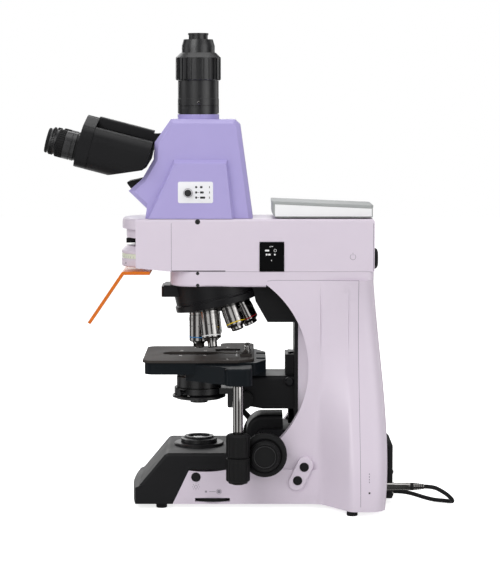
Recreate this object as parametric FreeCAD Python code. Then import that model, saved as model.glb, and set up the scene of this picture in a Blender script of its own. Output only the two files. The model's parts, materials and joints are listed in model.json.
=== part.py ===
import FreeCAD, Part
import math
import os
from collections import namedtuple

# Upright fluorescence microscope, millimetres. X points to the user's right, Y to the back, Z up.
# The pieces are drawn with the optical axis at X = Y = 0 and the table at Z = 0. At the end all of
# them move together along Y, so that the origin lies below the middle of the whole instrument.

V = FreeCAD.Vector
RIGHT = V(1, 0, 0)
LEFT = V(-1, 0, 0)
REAR = V(0, 1, 0)
FRONT = V(0, -1, 0)
UP = V(0, 0, 1)
DOWN = V(0, 0, -1)

# An outline corner that is not a corner but the middle of an arc between its neighbours
Via = namedtuple("Via", "a b")

# Clearances shared by all fits
slide_gap = 0.3
running_fit = 0.05
guide_gap = 0.15
cover_gap = 0.0

# Stand: base, column and their covers
foot_height = 6.0
foot_radius = 6.8
front_foot_x = 57.0
front_foot_y = -45.0
rear_foot_x = 107.0
rear_foot_y = 188.0
base_half_width = 68.0
base_top = 69.0
side_height = 48.9
toe_y = -77.0
toe_bulge = 5.0
knee_y = -73.0
knee_z = 28.0
brow_y = -39.0
boundary_foot_y = -31.0
boundary_top_y = -10.5
cover_rear_y = 60.0
base_edge_radius = 4.0
column_top = 280.8
column_half_top = 50.0
flare_start_y = 150.0
flare_end_y = 186.0
flare_half_width = 118.0
flare_radius = 22.0
rear_corner_radius = 20.0
column_rear_bottom = 230.5
column_rear_top = 216.5
seam_y = 197.7
arc_centre_y = 9.0
arc_centre_z = 173.0
arc_radius = 127.0
column_front_y = 123.6
pocket_half_width = 44.0
bevel_half_width = 53.0

# Column guide, its rail and the bracket below the arm
guide_plate = 4.6
rail_half_width = 15.0
rail_depth = 7.0
rail_neck = 9.0
rail_bottom = 98.0
rail_top = 188.0
bracket_low_z = 227.0
bracket_front_low_y = 86.0
bracket_front_high_y = 60.0
bracket_half_width = 30.0

# Focus housing and focus knobs
shaft_y = 82.3
shaft_z = 70.1
hump_top = 109.6
hump_front_y = 56.0
hump_shoulder_y = 80.0
hump_rear_y = 105.0
hump_half_width = 25.5
hump_waist_z = 94.0
coarse_shaft_radius = 8.0
fine_shaft_radius = 3.0
coarse_radius = 27.0
coarse_width = 17.0
fine_radius = 18.9
fine_width = 13.5
tension_ring_radius = 21.0
tension_ring_width = 5.0
lever_ring_radius = 15.0
lever_length = 62.0
lever_thickness = 4.0
knob_ribs = 60

# Field lens and the lamp train in the base
field_flange_radius = 31.0
field_flange_height = 3.4
field_ring_radius = 19.7
field_ring_top = 80.4
field_bore_radius = 14.0
lamp_bay_half_width = 24.0
lamp_bay_front_y = -24.0
lamp_bay_rear_y = 56.0
lamp_bay_bottom = 16.0
lamp_bay_top = 58.0
lamp_axis_z = 36.0

# Side button, intensity wheel and button pad
side_button_y = -2.3
side_button_z = 39.5
side_button_radius = 5.6
button_stand = 1.4
button_depth = 8.0
button_travel = 1.2
wheel_radius = 27.0
wheel_y = 18.0
wheel_bottom = 9.2
wheel_thickness = 4.0
wheel_stand = 3.0
wheel_pin_radius = 3.0
wheel_slot_half = 21.4
pad_y = 126.7
pad_z = 44.0
pad_half_length = 22.0
pad_half_width = 10.0
pad_lean = 26.0
pad_stand = 3.0
pad_button_pitch = 18.6
pad_button_radius = 5.5

# Power module, connector and cable at the back
module_half_width = 40.0
module_rear_y = 242.0
module_bottom = 6.5
module_top = 86.0
module_slope = 12.0
switch_x = -22.0
switch_z = 58.0
switch_width = 14.0
switch_height = 22.0
switch_pin_radius = 1.5
switch_pin_reach = 1.5
switch_pin_depth = 3.2
inlet_x = -14.0
inlet_z = 24.0
connector_x = 56.0
connector_z = 25.5
connector_radius = 5.2
plug_radius = 4.5
relief_tip_radius = 3.1
cable_radius = 2.6

# Stage: guide block, bracket, frame and moving plate
stage_block_top = 186.0
stage_block_bottom = 122.0
stage_block_half_width = 24.0
stage_block_front_y = 108.0
stage_bracket_bottom = 119.5
stage_bracket_top = 160.4
stage_bracket_half_width = 35.0
stage_bracket_front_y = 46.0
stage_bracket_wall = 7.0
stage_travel_up = 1.5
stage_travel_down = 17.0
clamp_knob_radius = 5.8
stage_top = 184.5
plate_thickness = 3.0
plate_front_y = -67.5
plate_rear_y = 69.0
plate_half_width = 74.0
plate_left_reach = 108.0
plate_strip_y = 26.0
plate_corner_radius = 12.0
stage_slot_half_width = 14.0
stage_slot_front_y = -45.0
stage_slot_rear_y = 26.0
frame_bottom = 167.0
frame_half_width = 72.0
frame_front_y = -65.0
frame_rear_y = 84.0
frame_lip_z = 160.0
frame_wall = 15.0
drive_box_x = 116.0
drive_box_front_y = 34.0
drive_box_rear_y = 67.0
drive_box_bottom = 158.8
drive_box_top = 179.5
plate_travel = 25.0
holder_travel = 36.0

# Specimen holder
holder_base_y = 52.0
holder_base_depth = 14.0
holder_half_width = 34.0
holder_base_height = 3.0
holder_jaw_y = 20.0
holder_jaw_depth = 5.0
holder_jaw_height = 2.0
holder_screw_radius = 3.6
holder_screw_height = 10.5
holder_screw_pitch = 36.0
finger_pivot_x = 27.0
finger_swing = 28.0
finger_thickness = 1.4

# Coaxial stage drive
drive_x = 105.0
drive_y = 49.7
drive_rod_radius = 6.0
drive_core_radius = 3.6
drive_knob_radius = 14.5
upper_knob_top = 99.0
upper_knob_bottom = 71.2
lower_knob_top = 70.4
lower_knob_bottom = 42.0
drive_knob_ribs = 18

# Condenser
condenser_radius = 28.0
condenser_rim_bottom = 143.0
condenser_rim_top = 158.0
condenser_neck_radius = 23.0
condenser_top_radius = 13.0
condenser_top = 176.0
condenser_lens_radius = 10.0
dial_top = 134.6
dial_bottom = 128.0
dial_radius = 33.5
dial_swing = 40.0
condenser_foot_radius = 11.0
condenser_foot_z = 123.0
carrier_top = 142.5
carrier_bottom = 135.2
carrier_ring_radius = 31.0
carrier_block_front_y = 36.0
carrier_block_bottom = 118.0
condenser_travel_up = 1.5
condenser_travel_down = 16.0
condenser_knob_y = 56.4
condenser_knob_z = 131.5
condenser_knob_radius = 11.5

# Nosepiece and objectives
turret_lean = 13.0
pitch_radius = 27.0
shoulder_z = 236.5
turret_radius = 54.0
turret_depth = 16.0
mount_radius = 52.0
mount_block_front_y = -45.6
mount_block_rear_y = -20.0
mount_block_bottom = 258.0
mount_block_half_width = 26.0
spindle_radius = 7.0
objective_radius = 12.0
objective_thread_radius = 10.1
objective_thread = 4.5
objective_places = 6

# Arm beam above the column and the epi-illuminator housing on it
beam_bottom = 272.4
beam_top = 291.3
beam_front_y = -35.0
beam_rear_y = 216.5
beam_half_width = 50.0
beam_front_radius = 34.0
beam_step_y = 84.0
epi_bottom = 291.6
epi_top = 356.1
epi_cheek_y = -76.0
epi_rear_y = 217.0
epi_half_width = 50.0
epi_gap_y = 34.0
epi_lip_y = -95.0
epi_lip_bottom = 343.0
epi_brow_y = -90.0
epi_brow_bottom = 332.0
epi_edge_radius = 3.4
filter_turret_y = -48.0
filter_turret_radius = 48.0
filter_turret_bottom = 295.6
filter_turret_top = 321.0
filter_turret_chamfer = 5.6
filter_count = 6
filter_cube = 15.0
filter_pitch = 33.0
filter_axle_radius = 4.0
shutter_knob_z = 327.0
shutter_knob_width = 14.0
shutter_knob_height = 6.0
shutter_travel = 12.0
slider_front_y = 76.0
slider_rear_y = 106.0
slider_bottom = 292.4
slider_top = 328.0
slider_stand = 1.0
slider_depth = 34.0
slider_travel = 15.0
rear_cap_radius = 13.0
rear_cap_z = 304.0
rear_cap_depth = 7.0
shield_half_width = 50.0
shield_thickness = 4.0
shield_tab_rear_y = -59.0
shield_bend_y = -93.0
shield_length = 76.0
shield_slope = 55.8
shield_stud_radius = 4.5
shield_stud_x = 38.0
shield_stud_y = -63.5
shield_seat_drop = 0.2

# Control box on the arm
box_front_y = 91.0
box_rear_y = 215.0
box_half_width = 45.0
box_foot = 1.8
box_front_top = 374.8
box_rear_top = 369.6
box_lid = 3.0
box_lid_lap = 0.6

# Trinocular head
head_bottom = 356.4
head_half_width = 42.0
head_top = 478.0
head_boss_half_width = 49.0
head_boss_top = 424.0
tilt_y = -25.0
tilt_z = 432.0
tilt_down = 2.0
tilt_up = 16.0
drum_radius = 29.5
drum_half_width = 27.0
head_mouth_half_width = 27.6
tilt_pin_radius = 4.0
splitter_y = -11.7
splitter_z = 388.0
splitter_knob_radius = 4.25
splitter_rod_radius = 2.5
splitter_travel = 14.0
splitter_prism = 22.0

# Photo port and camera adapter
collar_radius = 25.8
collar_top = 483.7
barrel_radius = 25.6
barrel_top = 525.3
barrel_bore = 14.0
focus_ring_radius = 28.0
focus_ring_top = 554.6
focus_ring_ribs = 26
adapter_neck_radius = 20.5
adapter_neck_top = 568.0
adapter_cone_radius = 18.2
adapter_cone_top = 576.0
port_neck_radius = 11.9
port_neck_top = 581.3
port_flange_radius = 12.7
port_top = 583.7
port_bore = 8.5

# Tilting binocular body, in its own frame: U to the right, V up across the tubes, W along them
view_tilt = 14.5
hinge_y = -139.2
hinge_z = 471.6
tube_drop = 30.0
tube_spacing = 62.0
lap_radius = 12.0
hinge_pin_radius = 4.5
front_plate = 15.0
plate_top = 10.5
plate_inner = 3.2
housing_radius = 24.0
housing_length = 72.2
top_box_half_width = 17.0
top_box_height = 13.5
top_box_floor = 1.0
top_box_length = 68.7
top_box_wall = 3.0
interpupillary_close = 6.0
interpupillary_open = 13.0
hinge_angle = 9.5
tube_radius = 16.4
tube_length = 3.5
eyepiece_barrel_radius = 17.3
eyepiece_length = 36.0
eyepiece_bore = 10.5
diopter_ring_length = 9.0
diopter_turns = 300.0


def outline(corners, place):
    """Closed wire through corners. A corner is (a, b) or (a, b, radius) and place maps it to 3D."""
    count = len(corners)
    flat = [V(corner[0], corner[1], 0) for corner in corners]
    entry = list(flat)
    leave = list(flat)
    bends = {}
    for index, corner in enumerate(corners):
        if isinstance(corner, Via) or len(corner) < 3 or corner[2] <= 0:
            continue
        here = flat[index]
        back = (flat[index - 1] - here).normalize()
        ahead = (flat[(index + 1) % count] - here).normalize()
        half = back.getAngle(ahead) / 2
        reach = corner[2] / math.tan(half)
        entry[index] = here + back * reach
        leave[index] = here + ahead * reach
        inward = (back + ahead).normalize()
        bends[index] = here + inward * (corner[2] / math.sin(half) - corner[2])
    edges = []
    for index, corner in enumerate(corners):
        if isinstance(corner, Via):
            continue
        if index in bends:
            arc = [entry[index], bends[index], leave[index]]
            edges.append(Part.Arc(*[place(p.x, p.y) for p in arc]).toShape())
        follower = (index + 1) % count
        start = place(leave[index].x, leave[index].y)
        if isinstance(corners[follower], Via):
            middle = place(flat[follower].x, flat[follower].y)
            end = entry[(follower + 1) % count]
            edges.append(Part.Arc(start, middle, place(end.x, end.y)).toShape())
        else:
            end = place(entry[follower].x, entry[follower].y)
            if start.distanceToPoint(end) > 1e-6:
                edges.append(Part.LineSegment(start, end).toShape())
    return Part.Wire(edges)


def side_prism(corners, x_from, x_to):
    """Solid with an outline seen from the side, corners (Y, Z), between two X places."""
    wire = outline(corners, lambda a, b: V(x_from, a, b))
    return Part.Face(wire).extrude(V(x_to - x_from, 0, 0))


def plan_prism(corners, z_from, z_to):
    """Solid with an outline seen from above, corners (X, Y), between two heights."""
    wire = outline(corners, lambda a, b: V(a, b, z_from))
    return Part.Face(wire).extrude(V(0, 0, z_to - z_from))


def front_prism(corners, y_from, y_to):
    """Solid with an outline seen from the front, corners (X, Z), between two Y places."""
    wire = outline(corners, lambda a, b: V(a, y_from, b))
    return Part.Face(wire).extrude(V(0, y_to - y_from, 0))


def box(x_from, x_to, y_from, y_to, z_from, z_to):
    """Rectangular solid between two corners."""
    size = V(x_to - x_from, y_to - y_from, z_to - z_from)
    return Part.makeBox(size.x, size.y, size.z, V(x_from, y_from, z_from))


def cylinder(radius, base, axis, length):
    """Round solid that starts at base and runs along axis."""
    return Part.makeCylinder(radius, length, base, axis)


def ring(outer, inner, base, axis, length):
    """Round solid with a bore."""
    bore = Part.makeCylinder(inner, length + 2, base - V(axis).normalize(), axis)
    return Part.makeCylinder(outer, length, base, axis).cut(bore)


def turned(profile, base, axis):
    """Solid of revolution. Profile corners are (radius, distance along the axis from base)."""
    wire = outline(profile, lambda a, b: V(a, 0, b))
    solid = Part.Face(wire).revolve(V(0, 0, 0), UP, 360)
    solid.Placement = FreeCAD.Placement(base, FreeCAD.Rotation(UP, axis))
    return solid


def joined(*shapes):
    """One solid made of overlapping or touching shapes."""
    whole = shapes[0].fuse(list(shapes[1:]))
    return whole.removeSplitter()


def group(*shapes):
    """Separate solids that share one piece."""
    return Part.makeCompound([solid for shape in shapes for solid in shape.Solids])


def mirrored(shape):
    """Copy on the other side of the symmetry plane."""
    return shape.mirror(V(0, 0, 0), RIGHT)


def both_sides(shape):
    """The shape together with its mirror image."""
    return [shape, mirrored(shape)]


def around(shape, centre, axis, count, start=0.0):
    """Copies of a shape, evenly spaced about an axis."""
    copies = []
    for index in range(count):
        copy = shape.copy()
        copy.rotate(centre, axis, start + index * 360.0 / count)
        copies.append(copy)
    return copies


def grooves(radius, base, axis, length, count, depth, share=0.5):
    """Cutters for the flutes of a grip, as square bars round its rim."""
    width = 2 * math.pi * radius / count * share
    bar = Part.makeBox(2 * depth, width, length, V(radius - depth, -width / 2, 0))
    bars = around(bar, V(0, 0, 0), UP, count)
    cutter = Part.makeCompound(bars)
    cutter.Placement = FreeCAD.Placement(base, FreeCAD.Rotation(UP, axis))
    return cutter


def filleted(shape, radius, wanted):
    """Round the edges that the test picks."""
    edges = [edge for edge in shape.Edges if wanted(edge)]
    return shape.makeFillet(radius, edges)


def along(edge, direction):
    """Whether a straight edge runs along a direction."""
    if not isinstance(edge.Curve, Part.Line):
        return False
    return abs(edge.tangentAt(edge.FirstParameter).dot(direction)) > 0.999


# Column outline at one height, seen from above
def column_section(z, half_front, half_rear, rear_y, front_y):
    """Closed plan outline of the column at a height: narrow in front, flared behind."""
    right = [(half_front, front_y), (half_front, flare_start_y, flare_radius),
             (half_rear, flare_end_y, flare_radius / 2), (half_rear, rear_y, rear_corner_radius)]
    left = [(-corner[0],) + corner[1:] for corner in reversed(right)]
    return outline(right + left, lambda a, b: V(a, b, z))


def column_body():
    """Column and rear leg as one smooth form, from the underside to below the arm beam."""
    drop = column_top - foot_height
    levels = [(0.0, flare_half_width, column_rear_bottom - 2.0),
              (0.1, flare_half_width - 2.0, column_rear_bottom),
              (0.5, flare_half_width * 0.62, (column_rear_bottom + column_rear_top) / 2 + 5.5),
              (1.0, column_half_top + 5.0, column_rear_top)]
    wires = []
    for share, half_rear, rear_y in levels:
        half_front = base_half_width + (column_half_top - base_half_width) * share
        z = foot_height + drop * share
        wires.append(column_section(z, half_front, half_rear, rear_y, cover_rear_y))
    return Part.makeLoft(wires, True, False)


def base_outline():
    """Side outline of the black base cover before the painted side is taken out of it."""
    return [(toe_y - toe_bulge - 1, foot_height), (toe_y - toe_bulge - 1, knee_z - 4),
            (knee_y, knee_z), (brow_y, base_top, 8), (cover_rear_y, base_top),
            (cover_rear_y, foot_height)]


def side_outline():
    """Side outline of the painted base side, with its slanted front edge."""
    return [(boundary_foot_y, foot_height), (boundary_top_y, side_height),
            (seam_y - 30, side_height), (seam_y - 30, foot_height)]


def lamp_bay():
    """Hollow in the base for the lamp train, with the shaft up to the field lens."""
    bay = box(-lamp_bay_half_width, lamp_bay_half_width, lamp_bay_front_y, lamp_bay_rear_y,
              lamp_bay_bottom, lamp_bay_top)
    shaft = cylinder(field_bore_radius, V(0, 0, lamp_bay_bottom), UP, base_top)
    return joined(bay, shaft)


def wheel_slot():
    """Slot for the intensity wheel in the base side, with the pin left standing in it."""
    centre_x = base_half_width + wheel_stand - wheel_radius
    bottom = wheel_bottom - slide_gap
    height = wheel_thickness + 2 * slide_gap
    disc = cylinder(wheel_radius + slide_gap, V(centre_x, wheel_y, bottom), UP, height)
    mouth = box(base_half_width - 9, base_half_width + 6, wheel_y - wheel_slot_half,
                wheel_y + wheel_slot_half, bottom, bottom + height)
    pin = cylinder(wheel_pin_radius, V(centre_x, wheel_y, bottom), UP, height)
    return joined(disc, mouth).cut(pin)


def pad_centre(offset):
    """Place on the pad's long middle line, at an offset from its centre."""
    lean = math.radians(pad_lean)
    return pad_y + offset * math.sin(lean), pad_z + offset * math.cos(lean)


def pad_face_x():
    """Height of the button pad's flat face."""
    return base_half_width + pad_stand


def button_pad():
    """Raised pad with round ends, leaning backwards."""
    straight = pad_half_length - pad_half_width
    corners = [(-pad_half_width, -straight), Via(0, -pad_half_length), (pad_half_width, -straight),
               (pad_half_width, straight), Via(0, pad_half_length), (-pad_half_width, straight)]
    pad = side_prism(corners, base_half_width - 8, pad_face_x())
    rim = [edge for edge in pad.Edges if edge.BoundBox.XMin > pad_face_x() - 0.01]
    pad = pad.makeFillet(1.2, rim)
    pad.rotate(V(0, 0, 0), RIGHT, -pad_lean)
    pad.translate(V(0, pad_y, pad_z))
    return pad


def button_bores():
    """Bores of the side button and the two pad buttons."""
    radius = side_button_radius + slide_gap
    depth = button_depth + button_travel + slide_gap
    places = [(side_button_y, side_button_z, radius, base_half_width)]
    for offset in (-pad_button_pitch / 2, pad_button_pitch / 2):
        y, z = pad_centre(offset)
        places.append((y, z, pad_button_radius + slide_gap, pad_face_x()))
    bores = []
    for y, z, bore, face_x in places:
        bores.append(cylinder(bore, V(face_x - depth, y, z), RIGHT, depth + 5))
    return bores


def bevel_cutter():
    """Cutter for the curved front of the column, with the bevel down to its flat middle."""
    reach = math.sqrt(arc_radius ** 2 - (column_front_y - arc_centre_y) ** 2)
    low = arc_centre_z - reach
    high = arc_centre_z + reach
    front = arc_centre_y
    deepest = arc_centre_y + arc_radius
    inner = outline([(front, low), (column_front_y, low), (column_front_y, high), (front, high)],
                    lambda a, b: V(pocket_half_width, a, b))
    outer = outline([(front, low), (column_front_y, low), Via(deepest, arc_centre_z),
                     (column_front_y, high), (front, high)],
                    lambda a, b: V(bevel_half_width, a, b))
    bevel = Part.makeLoft([inner, outer], True, True)
    outside = cylinder(arc_radius, V(bevel_half_width, arc_centre_y, arc_centre_z), RIGHT, 80)
    shell = cylinder(arc_radius, V(pocket_half_width, arc_centre_y, arc_centre_z), RIGHT,
                     bevel_half_width - pocket_half_width)
    ahead = box(0, flare_half_width, -arc_radius, column_front_y, 0, beam_top)
    return joined(bevel, outside, shell.common(ahead))


def column_pocket():
    """Open space between the cheeks, in front of the flat middle of the column."""
    return box(-pocket_half_width, pocket_half_width, cover_rear_y - 1, column_front_y,
               side_height, column_top + 1)


def shaft_bore():
    """Bore for the coarse focus shaft through both cheeks."""
    length = 2 * base_half_width + 20
    return cylinder(coarse_shaft_radius + running_fit, V(-length / 2, shaft_y, shaft_z), RIGHT,
                    length)


def stand_body(column):
    """Painted casting: base sides, column and the raised button pad."""
    lower = side_prism(side_outline(), -base_half_width, base_half_width)
    ahead = box(-flare_half_width - 5, flare_half_width + 5, -arc_radius, seam_y, 0, column_top + 5)
    body = joined(column.common(ahead), lower, button_pad())
    cutter = bevel_cutter()
    beam_room = box(-flare_half_width, flare_half_width, -arc_radius, beam_step_y, beam_bottom,
                    column_top + 1)
    body = body.cut([column_pocket(), cutter, mirrored(cutter), shaft_bore(), lamp_bay(),
                     wheel_slot(), beam_room] + button_bores())
    return body


def rear_cover(column):
    """Cover of the column's back, behind the seam."""
    behind = box(-flare_half_width - 5, flare_half_width + 5, seam_y + cover_gap, 300, 0,
                 column_top + 5)
    return column.common(behind)


def base_cover():
    """Black moulding of the base's front and top, round the painted sides."""
    half = base_half_width
    block = side_prism(base_outline(), -half, half)

    def rim(edge):
        """Edges along both sides of the top and of the slope."""
        bounds = edge.BoundBox
        beside = bounds.XLength < 0.01 and bounds.YLength > 1
        return beside and bounds.ZMin > knee_z - 0.01 and bounds.YMax < cover_rear_y + 0.01

    block = filleted(block, base_edge_radius, rim)
    sweep = plan_prism([(-half, cover_rear_y), (-half, toe_y), Via(0, toe_y - toe_bulge),
                        (half, toe_y), (half, cover_rear_y)], 0, 90)
    block = block.common(sweep)
    painted = side_prism(side_outline(), -half - 1, half + 1)
    bore = cylinder(field_bore_radius, V(0, 0, lamp_bay_bottom), UP, base_top)
    return block.cut([painted, lamp_bay(), bore])


def feet():
    """Four round rubber feet."""
    pads = []
    for x, y in ((front_foot_x, front_foot_y), (rear_foot_x, rear_foot_y)):
        profile = [(0, 0), (foot_radius - 0.8, 0), (foot_radius, 0.8), (foot_radius, foot_height),
                   (0, foot_height)]
        pads.extend(both_sides(turned(profile, V(x, y, 0), UP)))
    return group(*pads)


def inner_column():
    """Black column guide: plate, dovetail rail and the bracket below the arm beam."""
    front = column_front_y - guide_plate
    plate = box(-pocket_half_width + 0.2, pocket_half_width - 0.2, front, column_front_y,
                side_height, column_top)
    neck = rail_neck
    rail = plan_prism([(-neck, front), (-rail_half_width, front - rail_depth),
                       (rail_half_width, front - rail_depth), (neck, front)],
                      rail_bottom, rail_top)
    web = side_prism([(bracket_front_low_y, bracket_low_z), (front, bracket_low_z),
                      (front, beam_bottom), (bracket_front_high_y, beam_bottom)],
                     -bracket_half_width, bracket_half_width)
    relief = cylinder(turret_radius + 1.0, V(0, 0, -60), UP, 120)
    relief.Placement = turret_frame()
    return joined(plate, rail, web).cut([shaft_bore(), relief])


def focus_housing():
    """Housing of the focus drive between the cheeks: wide below, a narrow hump on top."""
    front = column_front_y - guide_plate
    low = box(-pocket_half_width + 0.2, pocket_half_width - 0.2, cover_rear_y, front,
              side_height, hump_waist_z)
    hump = side_prism([(cover_rear_y, side_height), (cover_rear_y, hump_waist_z - 6),
                       Via(hump_front_y + 10, hump_top - 6), (hump_shoulder_y, hump_top),
                       (hump_rear_y, hump_top), (hump_rear_y, side_height)],
                      -hump_half_width, hump_half_width)
    edges = [edge for edge in hump.Edges if along(edge, REAR) and edge.BoundBox.ZMin > hump_top - 1]
    hump = hump.makeFillet(5.0, edges)
    slope = side_prism([(cover_rear_y - 1, hump_waist_z + 1), (cover_rear_y - 1, base_top + 4),
                        (hump_shoulder_y, hump_waist_z + 1)], -pocket_half_width, pocket_half_width)
    return joined(low.cut(slope), hump).cut(shaft_bore())


def field_lens_mount():
    """Flange and fixed ring of the field lens, with the lens inside."""
    bore = field_bore_radius
    flange_top = base_top + field_flange_height
    profile = [(bore, base_top), (field_flange_radius, base_top),
               (field_flange_radius, flange_top - 1), (field_flange_radius - 1, flange_top),
               (field_ring_radius - 1.5, flange_top), (field_ring_radius - 1.5, field_ring_top),
               (bore, field_ring_top)]
    mount = turned(profile, V(0, 0, 0), UP)
    lens = turned([(0, 0), (bore, 0), (bore, 2.5), Via(bore * 0.55, 4.6), (0, 5.2)],
                  V(0, 0, field_ring_top - 7.0), UP)
    return joined(mount, lens)


def field_iris_ring():
    """Turning ring of the field diaphragm round the lens mount."""
    flange_top = base_top + field_flange_height + slide_gap
    inner = field_ring_radius - 1.5 + running_fit
    outer = field_ring_radius + 3.0
    top = field_ring_top - 1.2
    profile = [(inner, flange_top), (outer, flange_top), (outer, flange_top + 4.5),
               (field_ring_radius, flange_top + 5.5), (field_ring_radius, top - 0.6),
               (field_ring_radius - 0.6, top), (inner, top)]
    whole = turned(profile, V(0, 0, 0), UP)
    cutter = grooves(outer, V(0, 0, flange_top), UP, 4.5, 36, 0.5)
    return whole.cut(cutter)


def lamp_train():
    """Lamp with its heat sink and collector, and the field mirror, on the floor of the lamp bay."""
    floor = lamp_bay_bottom
    sink = box(-18, 18, 36, lamp_bay_rear_y, floor, lamp_bay_top - 4)
    fins = [box(-19, 19, 44 + 4 * index, 46 + 4 * index, floor + 5, lamp_bay_top)
            for index in range(3)]
    sink = sink.cut(fins)
    barrel = ring(11, 8, V(0, 22, lamp_axis_z), REAR, 14)
    saddle = box(-11, 11, 24, 34, floor, lamp_axis_z - 9)
    lens = turned([(0, -1.0), (8, 0), (8, 3), (0, 6.5)], V(0, 24, lamp_axis_z), REAR)
    seat = side_prism([(-16, floor), (14, floor), (-16, floor + 30)], -13, 13)
    mirror = side_prism([(14, floor), (16.4, floor), (-16, floor + 32.4), (-16, floor + 30)], -12, 12)
    return group(joined(sink, barrel, saddle), lens, seat, mirror)


def intensity_wheel():
    """Thumb wheel for the lamp, lying flat in its slot on a pin."""
    centre = V(base_half_width + wheel_stand - wheel_radius, wheel_y, wheel_bottom)
    wheel = ring(wheel_radius, wheel_pin_radius + running_fit, centre, UP, wheel_thickness)
    return wheel.cut(grooves(wheel_radius, centre, UP, wheel_thickness, 72, 0.5))


def round_button(face_x, y, z, radius):
    """Round button that stands a little out of its bore."""
    length = button_depth - slide_gap
    start = face_x + button_stand - length
    return turned([(0, 0), (radius, 0), (radius, length - 0.8), (radius - 0.8, length),
                   (0, length)], V(start, y, z), RIGHT)


def pad_button(side):
    """One of the two buttons on the raised pad, side -1 for the lower and 1 for the upper."""
    y, z = pad_centre(side * pad_button_pitch / 2)
    return round_button(pad_face_x(), y, z, pad_button_radius)


def knob_start():
    """X place where the first piece on the focus shaft begins, just outside the base side."""
    return base_half_width + slide_gap


def coarse_start():
    """X place of the coarse knob's inner face, outside the tension ring or the lock lever."""
    return knob_start() + tension_ring_width + slide_gap


def coarse_knobs():
    """Both coarse knobs on their hollow shaft."""
    start = coarse_start()
    bore = fine_shaft_radius + running_fit
    shaft = ring(coarse_shaft_radius, bore, V(-start - 2, shaft_y, shaft_z), RIGHT, 2 * start + 4)
    width = coarse_width
    profile = [(bore, 0), (coarse_radius - 4, 0), (coarse_radius - 4, 2), (coarse_radius, 4),
               (coarse_radius, width - 3), (coarse_radius - 2, width - 1),
               (fine_radius + 2.5, width), (fine_radius + 2.5, width - 3), (bore, width - 3)]
    knob = turned(profile, V(start, shaft_y, shaft_z), RIGHT)
    knob = knob.cut(grooves(coarse_radius, V(start + 4, shaft_y, shaft_z), RIGHT, width - 7,
                            knob_ribs, 0.7))
    return joined(knob, mirrored(knob), shaft)


def fine_knobs():
    """Both fine knobs on the thin shaft inside the coarse one."""
    start = coarse_start() + coarse_width - 3 + slide_gap
    width = fine_width
    shaft = cylinder(fine_shaft_radius, V(-start - 1, shaft_y, shaft_z), RIGHT, 2 * start + 2)
    profile = [(0, 0), (fine_radius, 0), (fine_radius, width - 3.5), (fine_radius - 1, width - 2.5),
               (fine_radius - 1.6, width - 2.5), (fine_radius - 1.6, width - 1.6),
               (fine_radius - 3.2, width), (fine_radius - 4.4, width), (fine_radius - 5.2, width - 1),
               (0, width - 1)]
    knob = turned(profile, V(start, shaft_y, shaft_z), RIGHT)
    knob = knob.cut(grooves(fine_radius, V(start + 2.2, shaft_y, shaft_z), RIGHT, width - 6.5,
                            knob_ribs, 0.5))
    return joined(knob, mirrored(knob), shaft)


def tension_ring():
    """Ring that sets how heavily the coarse knobs turn, on the right side of the stand."""
    inner = coarse_shaft_radius + running_fit
    profile = [(inner, 0), (tension_ring_radius, 0), (tension_ring_radius, tension_ring_width - 1),
               (tension_ring_radius - 1, tension_ring_width), (inner, tension_ring_width)]
    base = V(knob_start(), shaft_y, shaft_z)
    whole = turned(profile, base, RIGHT)
    return whole.cut(grooves(tension_ring_radius, base, RIGHT, tension_ring_width, 24, 0.35))


def lock_lever():
    """Lever that locks the coarse travel, on the left side of the stand."""
    inner = coarse_shaft_radius + running_fit
    start = -knob_start() - tension_ring_width
    hub = ring(lever_ring_radius, inner, V(start, shaft_y, shaft_z), RIGHT, tension_ring_width)
    half = lever_thickness
    arm = side_prism([(-half, lever_ring_radius - 4), (half, lever_ring_radius - 4),
                      (half * 0.7, lever_length, 2.5), (-half * 0.7, lever_length, 2.5)],
                     start, start + lever_thickness)
    arm.rotate(V(0, 0, 0), RIGHT, 42)
    arm.translate(V(0, shaft_y, shaft_z))
    return joined(hub, arm)


def power_module(column):
    """Black box with the mains part on the back of the column, with openings for its fittings."""
    top = module_top
    rear = module_rear_y
    shell = side_prism([(rear - 24, module_bottom), (rear - 24, top), (rear - module_slope, top, 4),
                        (rear, top - module_slope, 4), (rear, module_bottom, 2)],
                       -module_half_width, module_half_width)
    edges = [edge for edge in shell.Edges if along(edge, UP) and edge.BoundBox.YMin > rear - 1]
    shell = shell.makeFillet(5.0, edges)
    shell = shell.cut(column)
    window = box(switch_x - switch_width / 2 - slide_gap, switch_x + switch_width / 2 + slide_gap,
                 rear - 9, rear + 1, switch_z - switch_height / 2 - slide_gap,
                 switch_z + switch_height / 2 + slide_gap)
    socket = box(inlet_x - 13, inlet_x + 13, rear - 9, rear + 1, inlet_z - 9, inlet_z + 9)
    pins = [box(inlet_x + x - 1, inlet_x + x + 1, rear - 9.5, rear - 2, inlet_z - 2, inlet_z + 2)
            for x in (-7, 0, 7)]
    gland = cylinder(cable_radius + running_fit, V(cable_return_x, rear - 9, cable_return_z), REAR,
                     12)
    reach = switch_width / 2 + switch_pin_reach + slide_gap
    pivot = cylinder(switch_pin_radius + running_fit,
                     V(switch_x - reach, rear - switch_pin_depth, switch_z), RIGHT, 2 * reach)
    return joined(shell.cut([window, socket, gland, pivot]), *pins)


def power_switch():
    """Rocker switch in the power module."""
    half = switch_height / 2 - 0.8
    depth = 5.0
    face = module_rear_y
    rocker = side_prism([(face - depth, -half * 0.55), (face - depth, half * 0.55),
                         (face - 0.6, half), (face - 1.6, 0), (face + 1.6, -half)],
                        switch_x - switch_width / 2, switch_x + switch_width / 2)
    rocker.translate(V(0, 0, switch_z))
    reach = switch_width / 2 + switch_pin_reach
    pin = cylinder(switch_pin_radius, V(switch_x - reach, face - switch_pin_depth, switch_z),
                   RIGHT, 2 * reach)
    return joined(rocker, pin)


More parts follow.
